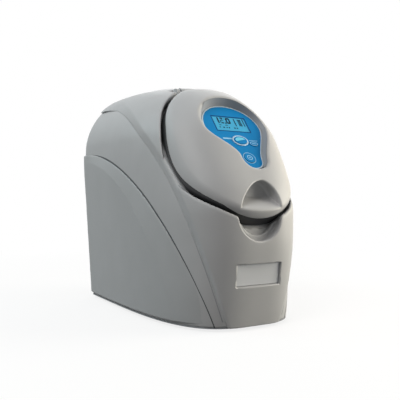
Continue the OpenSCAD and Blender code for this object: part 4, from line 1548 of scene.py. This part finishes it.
@dataclass
class ControlPanel:
    """The blue drop-shaped overlay with its window, keys and print."""

    head: Triple = (4.3, 16.0, 35.3)
    head_flat: float = 2.0
    head_power: float = 0.9
    tail: Triple = (8.4, -26.8, 13.2)
    waist_left: Triple = (0.55, 0.45, 0.65)
    waist_right: Pair = (0.6, 0.2)
    outline_points: int = 260
    outline_ease: float = 1.6
    low_n: float = 14.0
    face_n: float = 15.2
    edge_roll: float = 0.12
    edge_line: Pair = (-0.1, -1.4)
    window: tuple[float, float, float, float] = (4.0, 22.2, 40.0, 20.0)
    window_gap: float = 0.2
    window_frame: float = 2.4
    window_sunk: float = 0.3
    oval: Pair = (5.5, -1.8)
    oval_size: Pair = (15.0, 10.2)
    oval_room: float = 4.4
    oval_turn: Pair = (20.0, 208.0)
    oval_edge: float = 1.2
    small: Pair = (20.5, -5.3)
    small_size: Pair = (10.0, 6.0)
    small_line: Pair = (0.3, 1.7)
    small_dash: Pair = (0.46, 0.9)
    power: Pair = (6.5, -25.3)
    power_d: float = 12.0
    power_rings: tuple[float, ...] = (6.4, 4.6, 1.8)
    power_line: Pair = (2.6, 1.2)
    key_lines: tuple[tuple[Pair, Pair, float], ...] = (
        ((-14.6, 2.4), (10.6, 1.9), 0.5),
        ((16.6, 1.3), (10.4, 0.8), 0.3),
    )
    key_gap: float = 0.8
    key_n: float = 15.8
    oval_n: float = 16.4
    print_t: float = 0.08
    stroke: float = 1.7
    stroke_over: float = 0.3
    figure_v: float = 4.8
    figure_tall: float = 8.6
    figures_u: Triple = (-13.8, -9.2, -1.8)
    two_size: Pair = (3.7, 6.9)
    zero_wide: float = 5.4
    zero_hole: Pair = (1.7, 4.8)
    point: Pair = (-5.6, 1.2)
    level: Triple = (12.6, -0.8, 1.95)
    level_steps: int = 5
    level_bar: Pair = (4.2, 1.35)
    rules: tuple[tuple[Pair, Pair], ...] = (((6.4, 3.0), (1.2, 10.6)), ((17.4, 3.6), (1.1, 11.0)))
    marks_v: float = -5.2
    marks_tall: float = 1.5
    marks: tuple[Pair, ...] = ((-15.0, 1.4), (-10.2, 2.2), (-6.6, 1.5), (-3.8, 1.5), (3.2, 2.2),
                               (6.2, 1.6))
    dashes_v: float = -1.9
    dashes_tall: float = 0.8
    dashes: tuple[Pair, ...] = ((-13.6, 2.6), (-6.0, 3.4))

    def drop(self, grow: float = 0.0) -> Grid:
        """The overlay's outline: a wide head, a waist and a tail that leans right.

        Args:
            grow: How far the outline moves out.

        Returns:
            A closed line in the lid's plane.
        """
        head_u, head_v, head = self.head
        tail_u, tail_v, tail = self.tail
        head, tail = head + grow, tail + grow
        tall = head - self.head_flat
        line: list[Pair] = []
        for a in np.radians(np.arange(0, 181, 4)):
            rise = tall * abs(math.sin(a)) ** self.head_power
            line.append((head_u + head * math.cos(a), head_v + rise))
        even, early, power = self.waist_left
        for q in np.linspace(0.05, 0.95, 19):
            s = (1 - math.cos(math.pi * q)) / 2
            line.append((head_u - head + (tail_u - tail - head_u + head) * s,
                         head_v + (tail_v - head_v) * (even * q + early * q**power)))
        for a in np.radians(np.arange(180, 361, 8)):
            line.append((tail_u + tail * math.cos(a), tail_v + tail * math.sin(a)))
        even, eased = self.waist_right
        for q in np.linspace(0.05, 0.95, 19):
            s = even * q + eased * (1 - math.cos(math.pi * q))
            line.append((tail_u + tail + (head + head_u - tail_u - tail) * s,
                         tail_v + (head_v - tail_v) * q))
        return closed_line(line, self.outline_points, self.outline_ease)

    def overlay(self) -> bpy.types.Object:
        """Cuts the overlay with its openings.

        Returns:
            The overlay.
        """
        u, v, wide, tall = self.window
        lines = [self.drop(), box_line((u, v), wide + self.window_gap, tall + self.window_gap, 0.3)]
        round_key = (self.power_d, self.power_d)
        for centre, size, room in ((self.oval, self.oval_size, self.oval_room),
                                   (self.small, self.small_size, self.key_gap),
                                   (self.power, round_key, self.key_gap)):
            lines.append(oval_line(centre, size[0] + room, size[1] + room))
        return cut_sheet("panel_overlay", lines, LID_FRAME, self.low_n, self.face_n, self.edge_roll)

    @staticmethod
    def segment(centre: Pair, length: float, thick: float, upright: bool) -> Grid:
        """One bar of a digit with pointed ends.

        Args:
            centre: Middle of the bar.
            length: Its length between the points.
            thick: Its width.
            upright: Whether it runs along the lid's slope.

        Returns:
            A closed line.
        """
        a, b = length / 2, thick / 2
        flat = np.array([(-a, 0), (-a + b, b), (a - b, b), (a, 0), (a - b, -b), (-a + b, -b)])
        return (flat[:, ::-1] if upright else flat) + centre

    def digit(self, lit: str, centre: Pair, wide: float, tall: float) -> list[Grid]:
        """The lit bars of one digit, a to g, about its centre.

        Args:
            lit: Letters of the lit bars.
            centre: Middle of the digit.
            wide: Width between the upright bars.
            tall: Height between the outer level bars.

        Returns:
            One closed line for each lit bar.
        """
        a, b = wide / 2, tall / 4
        bars = {"a": (0, 2 * b, False), "b": (a, b, True), "c": (a, -b, True), "d": (0, -2 * b, False),
                "e": (-a, -b, True), "f": (-a, b, True), "g": (0, 0, False)}
        lines = []
        for u, v, upright in (bars[k] for k in lit):
            length = (2 * b if upright else wide) + self.stroke_over
            lines.append(self.segment((centre[0] + u, centre[1] + v), length, self.stroke, upright))
        return lines

    def readout(self) -> list[Grid]:
        """The dark figures of the display: speed, a level in steps, rules and rows of marks.

        Returns:
            Their closed lines.
        """
        u, v, _, _ = self.window
        bar, tall, top = self.stroke, self.figure_tall, v + self.figure_v
        one, two, zero = ((u + k, top) for k in self.figures_u)
        lines = [box_line(one, bar, tall, 0.4), *self.digit("abged", two, *self.two_size),
                 box_line(zero, self.zero_wide, tall, 2.0), box_line(zero, *self.zero_hole, 0.8),
                 box_line((u + self.point[0], v + self.point[1]), bar, bar, 0.3)]
        level_u, level_v, rise = self.level
        for k in range(self.level_steps):
            lines.append(box_line((u + level_u, v + level_v + rise * k), *self.level_bar, 0.2))
        for (rule_u, rule_v), size in self.rules:
            lines.append(box_line((u + rule_u, v + rule_v), *size, 0.3))
        for place, wide in self.marks:
            lines.append(box_line((u + place, v + self.marks_v), wide, self.marks_tall, 0.3))
        for place, wide in self.dashes:
            lines.append(box_line((u + place, v + self.dashes_v), wide, self.dashes_tall, 0.2))
        return lines

    def oval_highlight(self) -> Grid:
        """Painted highlight on the oval key: a pale cyan crescent over its upper left part.

        Returns:
            A closed line in the lid's plane.
        """
        turn = np.radians(np.linspace(*self.oval_turn, 40))
        wide, tall = (size / 2 - self.oval_edge for size in self.oval_size)
        return np.stack([self.oval[0] + wide * np.cos(turn), self.oval[1] + tall * np.sin(turn)], axis=1)

    def prints(self) -> list[Print]:
        """The prints on the display, the overlay and the keys, and the oval key's painted highlight.

        Returns:
            The prints in order.
        """
        face, key, sunk = self.face_n, self.key_n, self.face_n - self.window_sunk
        edge = [self.drop(grow) for grow in self.edge_line]
        u, v, wide, tall = self.window
        frame = [box_line((u, v), wide + self.window_frame, tall + self.window_frame),
                 box_line((u, v), wide + 0.1, tall + 0.1, 0.3)]
        u, v = self.oval
        level = [box_line((u + du, v + dv), *size, corner) for (du, dv), size, corner in self.key_lines]
        level += [oval_line(self.power, self.power_d + k, self.power_d + k) for k in self.power_line]
        wide, tall = self.small_size
        small = [oval_line(self.small, wide - k, tall - k) for k in self.small_line]
        small.append(box_line(self.small, wide * self.small_dash[0], self.small_dash[1], 0.3))
        rings = [oval_line(self.power, k, k) for k in self.power_rings]
        return [
            Print("display_figures", self.readout(), sunk, Paint.SEGMENT, slot=Slot.DISPLAY),
            Print("panel_edge", edge, face, Paint.EDGE),
            Print("window_frame", frame, face, Paint.FRAME),
            Print("panel_lines", level, face, Paint.PRINT),
            Print("small_key_print", small, key, Paint.PRINT, Body.SMALL_KEY),
            Print("power_key_print", rings, key, Paint.PRINT, Body.POWER_KEY),
            # Painted highlight: a pale cyan crescent on the oval key's upper left.
            Print("oval_key_print", [self.oval_highlight()], self.oval_n, Paint.CYAN, Body.OVAL_KEY, Slot.KEY),
        ]

    def build(self, dresser: Dresser) -> None:
        """Makes the overlay and prints, and dresses the keys and boards.

        Args:
            dresser: Puts the finishes on.
        """
        dresser.piece(self.overlay(), Paint.FILM, Body.LID, Slot.PANEL, ["control_panel"])
        for item in self.prints():
            sheet = cut_sheet(item.name, item.lines, LID_FRAME, item.face, item.face + self.print_t)
            dresser.piece(sheet, item.paint, item.body, item.slot)
        dresser.node("oval_key", Paint.KEY_FILM, 0.6, 60)
        dresser.node("oval_ring", Paint.RING, 0.35, 60)
        dresser.node("small_key", Paint.KEY_FILM, 0.25, 60)
        dresser.node("power_key", Paint.KEY_FILM, 0.25, 60)
        dresser.node("display_window", Paint.GLASS, 0.1)
        dresser.node("display_module", Paint.DARK, 0.3)
        dresser.node("key_board", Paint.BOARD)


@dataclass
class Lid:
    """The lid moulding with its panel recess and thumb scoop, and its liner and hinge."""

    panel: ControlPanel
    step: float = 1.0
    net_low: Triple = (-70.0, -92.0, -15.0)
    net_high: Triple = (70.0, 84.0, 35.0)
    proud: float = 1.95
    half: Pair = (66.6, 87.6)
    power: float = 2.15
    end: float = 80.0
    end_roll: float = 4.0
    low_n: float = -12.5
    under_n: float = -8.4
    high_n: float = 40.0
    edge: float = 5.0
    wall: float = 2.5
    under_rolls: Pair = (1.0, 0.8)
    slant: Pair = (0.257 / 14, 0.117 / 14)
    slant_about: Pair = (3.5, 6.0)
    recess_gap: float = 0.4
    recess_high: float = 14.0
    pocket_gap: float = 0.3
    pocket_ledge: float = 3.0
    unseen_room: Pair = (2.4, 0.3)
    rim_roll: float = 4.0
    # The recess wall's painted shade: rows, depth under the rim, and how its height fades with the wall's
    # run.
    trim_rows: int = 7
    trim_under: float = 0.7
    trim_way: Pair = (-0.6, 0.8)
    trim_fade: Triple = (0.6, 0.5, 0.05)
    clear: float = 0.12
    # The painted gap shadow round the lid: how far under the lid's top it begins, deeper at the front and
    # at the hinge.
    lip: float = 2.6
    lip_front: Triple = (2.4, 74.0, 9.0)
    lip_hinge: Triple = (14.0, 68.0, 8.0)
    gap_shadow_rows: int = 6
    gap_shadow_points: int = 480
    gap_shadow_reach: Pair = (40.0, 110.0)
    scoop_size: Pair = (23.0, 28.0)
    scoop_power: float = 1.75
    scoop_lean: float = 0.2
    scoop_z: float = 113.928
    scoop_deep: float = 17.6
    scoop_rolls: Triple = (4.0, 1.6, 2.4)
    shelf_rise: float = 30.0
    shelf_z: float = 115.028
    shelf_front: float = 2.0
    outline: FlatShape = field(init=False, repr=False)

    def __post_init__(self) -> None:
        """Measures the overlay's outline."""
        self.outline = FlatShape(self.panel.drop())

    def scoop(self, p: Grid) -> Grid:
        """Distance to the thumb scoop over the lip.

        Args:
            p: Points, one a row.

        Returns:
            Distances, negative inside.
        """
        up = p[:, 2] - self.scoop_z
        form = ellipse(p[:, 0] - self.scoop_lean * up, up, *self.scoop_size, self.scoop_power)
        form = roll(form, p[:, 1] - BODY.front - self.scoop_deep, self.scoop_rolls[0])
        rise = math.radians(self.shelf_rise)
        back = p[:, 1] - BODY.front + self.shelf_front
        shelf = (p[:, 2] - self.shelf_z) * math.cos(rise) - back * math.sin(rise)
        return roll(form, -shelf, self.scoop_rolls[1])

    def recess(self, q: Grid) -> Grid:
        """Distance to the sloped recess over the overlay and the room under it.

        Args:
            q: Points in the lid's frame, one a row.

        Returns:
            Distances, negative inside.
        """
        u, v, n = q.T
        up = np.maximum(n - self.panel.face_n, 0)
        across, along = 1 + self.slant[0] * up, 1 + self.slant[1] * up
        a, b = self.slant_about
        wall = self.outline.distance((u - a) / across + a, (v - b) / along + b) - self.recess_gap
        form = np.maximum(wall, self.panel.face_n - n)
        flat = self.outline.distance(u, v)
        pocket = np.maximum(flat - self.pocket_gap, self.panel.low_n - n)
        return np.minimum.reduce([form, pocket, flat + self.pocket_ledge])

    def top(self, q: Grid) -> Grid:
        """Distance to the lid's top, a little proud of the body's skin."""
        return BODY.skin(LID_FRAME.world(q)) - self.proud

    def rim(self, u: Grid, v: Grid) -> Grid:
        """Distance to the lid's outline seen from above, negative inside."""
        return roll(ellipse(u, v, *self.half, self.power), v - self.end, self.end_roll)

    def edge_form(self, q: Grid) -> Grid:
        """Distance to the lid's top and rolled edge, negative inside."""
        return roll(self.top(q), self.rim(q[:, 0], q[:, 1]), self.edge)

    def form(self, q: Grid) -> Grid:
        """Distance to the lid moulding.

        Args:
            q: Points in the lid's frame, one a row.

        Returns:
            Distances, negative inside.
        """
        u, v, n = q.T
        form = roll(self.edge_form(q), self.low_n - n, self.under_rolls[0])
        form = cut(form, np.maximum(self.rim(u, v) + self.wall, n - self.under_n), self.under_rolls[1])
        form = cut(form, self.scoop(LID_FRAME.world(q)), self.scoop_rolls[2])
        return cut(form, self.recess(q), self.rim_roll)

    def seen(self, q: Grid) -> Grid:
        """Whether points of the lid can be seen; the room under the overlay can't."""
        inner, under = self.unseen_room
        return ~((self.outline.distance(q[:, 0], q[:, 1]) < -inner) & (q[:, 2] < self.panel.low_n - under))

    def edge_line(self, way: Grid, n: Grid) -> Grid:
        """Points just off the lid's edge.

        Args:
            way: Directions from the lid's middle, one a row.
            n: Heights over the lid's plane, one for each direction.

        Returns:
            Points in the lid's frame, one a row.
        """
        def spots(r: Grid) -> Grid:
            """Points at distances r from the lid's middle."""
            return np.column_stack([way * r[:, None], n])

        near, far = (np.full(len(way), reach) for reach in self.gap_shadow_reach)
        return spots(furthest(lambda r: self.edge_form(spots(r)) < self.clear, near, far))

    def skirt(self) -> bpy.types.Object:
        """Painted shadow of the gap round the lid: a black band under its rolled lip, open at the hinge.

        Returns:
            The band of painted shadow.
        """
        turn = np.linspace(0, 2 * math.pi, self.gap_shadow_points, endpoint=False)
        way = np.stack([np.cos(turn), np.sin(turn)], axis=1)
        near, far = (np.full(len(turn), reach) for reach in self.gap_shadow_reach)
        line = way * furthest(lambda r: self.rim(*(way * r[:, None]).T) < 0, near, far)[:, None]
        deep, start, over = self.lip_front
        depth = self.lip + deep * np.clip((-line[:, 1] - start) / over, 0, 1)
        deep, start, over = self.lip_hinge
        depth += deep * np.clip((line[:, 1] - start) / over, 0, 1)
        low, high = np.full(len(turn), self.low_n), np.full(len(turn), self.high_n)
        tall = furthest(lambda n: self.top(np.column_stack([line, n])) < -depth, low, high) - low
        rows = [self.edge_line(way, low + tall * share) for share in np.linspace(0, 1, self.gap_shadow_rows)]
        return ribbon("lid_skirt", [LID_FRAME.world(row) for row in rows], True)

    def wall_line(self, line: Grid, up: Grid) -> Grid:
        """Points of the recess's sloped wall.

        Args:
            line: The wall's line at the overlay, one point a row.
            up: Heights over the overlay, one for each point.

        Returns:
            Points in the lid's frame, one a row.
        """
        a, b = self.slant_about
        across, along = 1 + self.slant[0] * up, 1 + self.slant[1] * up
        u, v = a + (line[:, 0] - a) * across, b + (line[:, 1] - b) * along
        return np.stack([u, v, self.panel.face_n + up], axis=1)

    def trim(self) -> bpy.types.Object:
        """Painted shade on the recess's wall: a darker grey strip from the overlay up to just under the
        rim, its height set by the way the wall runs.

        Returns:
            The strip of painted shade.
        """
        line = self.panel.drop(self.recess_gap - self.clear)
        low, high = np.zeros(len(line)), np.full(len(line), self.recess_high)
        tall = furthest(lambda up: self.top(self.wall_line(line, up)) < -self.trim_under, low, high)
        way = np.roll(line, -1, axis=0) - np.roll(line, 1, axis=0)
        faces_up = (way[:, 1] * self.trim_way[1] + way[:, 0] * self.trim_way[0]) / np.hypot(*way.T)
        start, over, least = self.trim_fade
        tall = tall * np.clip((faces_up + start) / over, least, 1)
        rows = [self.wall_line(line, tall * share) for share in np.linspace(0, 1, self.trim_rows)]
        return ribbon("panel_trim", [LID_FRAME.world(row) for row in rows], True)

    def build(self, dresser: Dresser) -> None:
        """Draws the lid, the painted shade on its recess wall and the painted shadow round its edge, and
        dresses what it carries.

        Args:
            dresser: Puts the finishes on.
        """
        net = SkinNet(self.form, self.net_low, self.net_high, self.step)
        points, faces, normals = net.draw(self.seen)
        level = Slope(0, 0, LID_FRAME.tilt)
        lid = to_mesh("lid_skin", LID_FRAME.world(points), faces, level.world(normals))
        dresser.piece(lid, Paint.LID, Body.LID, Slot.GREY, ["lid_shell"])
        # Painted shade: a darker grey strip on the recess's wall.
        dresser.piece(self.trim(), Paint.TRIM, Body.LID, Slot.GREY)
        # Painted shadow: a black band in the gap between the lid's edge and the casing.
        dresser.piece(self.skirt(), Paint.BLACK, Body.LID, Slot.BLACK)
        dresser.node("lid_liner", Paint.LINER, 0.4)
        dresser.node("lid_hinge", Paint.CASE, 0.3)
        dresser.node("latch_hook", Paint.STEEL, 0.2)
        dresser.node("liner_screws", Paint.STEEL)
        dresser.node("hinge_bridge", Paint.CASE)
        dresser.node("hinge_pin", Paint.TURNED)


@dataclass
class Inside:
    """Chamber, rotor, drive, lock, electrics and rear fittings: CAD nodes with their finishes."""

    finishes: dict[str, tuple[Paint, float]] = field(default_factory=lambda: {
        "chamber_bowl": (Paint.STEEL, 0.0),
        "chamber_collar": (Paint.COLLAR, 0.0),
        "chamber_seal": (Paint.RUBBER, 0.5),
        "damper_ring": (Paint.RUBBER, 0.5),
        "motor_plate": (Paint.CAST, 0.0),
        "motor_can": (Paint.MOTOR, 0.0),
        "motor_shaft": (Paint.TURNED, 0.0),
        "bearing_upper": (Paint.STEEL, 0.2),
        "bearing_lower": (Paint.STEEL, 0.2),
        "rotor": (Paint.ALLOY, 0.0),
        "rotor_nut": (Paint.BLACK, 0.4),
        "lock_frame": (Paint.CAST, 0.0),
        "lock_coil": (Paint.COPPER, 0.0),
        "lock_bolt": (Paint.TURNED, 0.2),
        "power_supply": (Paint.STEEL, 0.3),
        "control_board": (Paint.BOARD, 0.0),
        "toroid": (Paint.COPPER, 0.0),
        "mains_inlet": (Paint.BLACK, 0.3),
        "mains_switch": (Paint.ROCKER, 0.4),
        "switch_frame": (Paint.BLACK, 0.3),
        "fan_frame": (Paint.BLACK, 0.0),
        "fan_wheel": (Paint.DARK, 0.0),
        "fan_guard": (Paint.CHROME, 0.0),
        "motor_screws": (Paint.STEEL, 0.0),
    })

    def build(self, dresser: Dresser) -> None:
        """Dresses each node."""
        for name, (paint, bevel) in self.finishes.items():
            dresser.node(name, paint, bevel)


@dataclass(frozen=True)
class Lamp:
    """One soft area lamp that faces a point over the floor."""

    name: str
    place: Triple
    size: float
    power: float
    colour: Colour
    aim: Triple = (0.0, -0.03, 0.14)

    def build(self) -> None:
        """Hangs the lamp."""
        light = bpy.data.lights.new(self.name, "AREA")
        light.shape = "DISK"
        light.size = self.size
        light.energy = self.power
        light.color = self.colour
        lamp = bpy.data.objects.new(self.name, light)
        lamp.location = self.place
        way = np.array(self.aim) - self.place
        lamp.rotation_euler = (math.atan2(math.hypot(way[0], way[1]), -way[2]), 0,
                               math.atan2(way[1], way[0]) - math.pi / 2)
        bpy.context.scene.collection.objects.link(lamp)


@dataclass
class Studio:
    """Floor, light and camera."""

    eye: Triple = (-0.3074, -0.5357, 0.1235)
    heading: float = -30.4
    lens: float = 48.6
    sensor: float = 36.0
    floor_half: float = 4.0
    ambient: float = 0.08
    ambient_colour: Colour = (0.97, 0.985, 1.0)
    white: Colour = (1.0, 1.0, 1.0)
    floor_dim: Triple = (0.13, 0.15, 0.8)
    floor_pale: Triple = (0.93, 0.97, 0.9)
    floor_cloud: float = 120.0
    glow: float = 0.9
    glow_from: float = 420.0
    glow_rise: float = 0.0003
    lamps: tuple[Lamp, ...] = (
        Lamp("right_lamp", (1.33, -0.62, 0.452), 1.0, 25.4, (1.0, 0.943, 0.818)),
        Lamp("side_lamp", (1.445, 0.255, 0.452), 1.0, 3.2, (1.0, 0.86, 0.6)),
        Lamp("left_lamp", (-1.0, -0.45, 1.4), 1.0, 14.2, (1.0, 0.957, 0.927)),
        Lamp("far_lamp", (-1.177, 0.68, 1.2), 1.0, 6.5, (0.65, 0.93, 1.0)),
        Lamp("back_lamp", (0.659, 0.941, 1.104), 1.0, 3.0, (1.0, 1.0, 1.0)),
        Lamp("top_lamp", (0.0, -0.052, 1.639), 1.0, 3.4, (0.92, 0.96, 1.0)),
    )

    def world(self) -> None:
        """An even surround; the camera, gloss and glass see white."""
        world = bpy.data.worlds.new("studio")
        bpy.context.scene.world = world
        graph = Graph(world)
        plain = graph.add("ShaderNodeBackground", None,
                          {"Color": self.ambient_colour, "Strength": self.ambient})
        white = graph.add("ShaderNodeBackground", None, {"Color": self.white, "Strength": 1.0})
        mix = graph.add("ShaderNodeMixShader", None,
                        {0: graph.seen(), 1: plain.outputs[0], 2: white.outputs[0]})
        graph.close(mix.outputs[0])

    def floor(self) -> None:
        """A pale floor that keeps a faint shadow and throws little light back."""
        half = self.floor_half / MM
        points = np.array([(-half, -half, 0), (half, -half, 0), (half, half, 0), (-half, half, 0)])
        floor = to_mesh("studio_floor", points, np.array([[0, 1, 2, 3]]))
        material = bpy.data.materials.new("pale_floor")
        graph = Graph(material)
        cloud = graph.noise(self.floor_cloud, 2)
        faces = []
        for low, high, rough in (self.floor_dim, self.floor_pale):
            colour = graph.blend(cloud, (low, low, low), (high, high, high))
            face = graph.add("ShaderNodeBsdfPrincipled", None, {"Base Color": colour, "Roughness": rough})
            faces.append(face.outputs[0])
        dim, pale = faces
        white = graph.add("ShaderNodeEmission", None, {"Color": self.white, "Strength": 1.0})
        span = graph.add("ShaderNodeVectorMath", {"operation": "LENGTH"}, {0: graph.places()})
        far = Wire(graph, span.outputs[1])
        share = (far - self.glow_from) * self.glow_rise + self.glow
        shown = graph.add("ShaderNodeMixShader", None, {0: share, 1: pale, 2: white.outputs[0]})
        mix = graph.add("ShaderNodeMixShader", None, {0: graph.seen(), 1: dim, 2: shown.outputs[0]})
        graph.close(mix.outputs[0])
        floor.data.materials.append(material)

    def camera(self) -> None:
        """The camera at the photograph's place, level with the middle of the unit."""
        lens = bpy.data.cameras.new("camera")
        lens.lens = self.lens
        lens.sensor_width = self.sensor
        lens.sensor_fit = "HORIZONTAL"
        camera = bpy.data.objects.new("camera", lens)
        camera.location = self.eye
        camera.rotation_euler = (math.pi / 2, 0, math.radians(self.heading))
        bpy.context.scene.collection.objects.link(camera)
        bpy.context.scene.camera = camera

    def build(self) -> None:
        """Sets up the studio."""
        bpy.context.scene.view_settings.view_transform = "Standard"
        self.world()
        self.floor()
        for lamp in self.lamps:
            lamp.build()
        self.camera()


def main() -> None:
    """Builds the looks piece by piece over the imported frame."""
    logging.basicConfig(level=logging.INFO, format="%(name)s: %(message)s")
    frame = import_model()
    dresser = Dresser(frame["nodes"])
    panel = ControlPanel()
    Casing().build(dresser)
    Lid(panel).build(dresser)
    panel.build(dresser)
    Inside().build(dresser)
    Studio().build()
    LOG.info("left plain: %s", sorted(set(frame["nodes"]) - dresser.dressed))


if __name__ == "__main__":
    main()
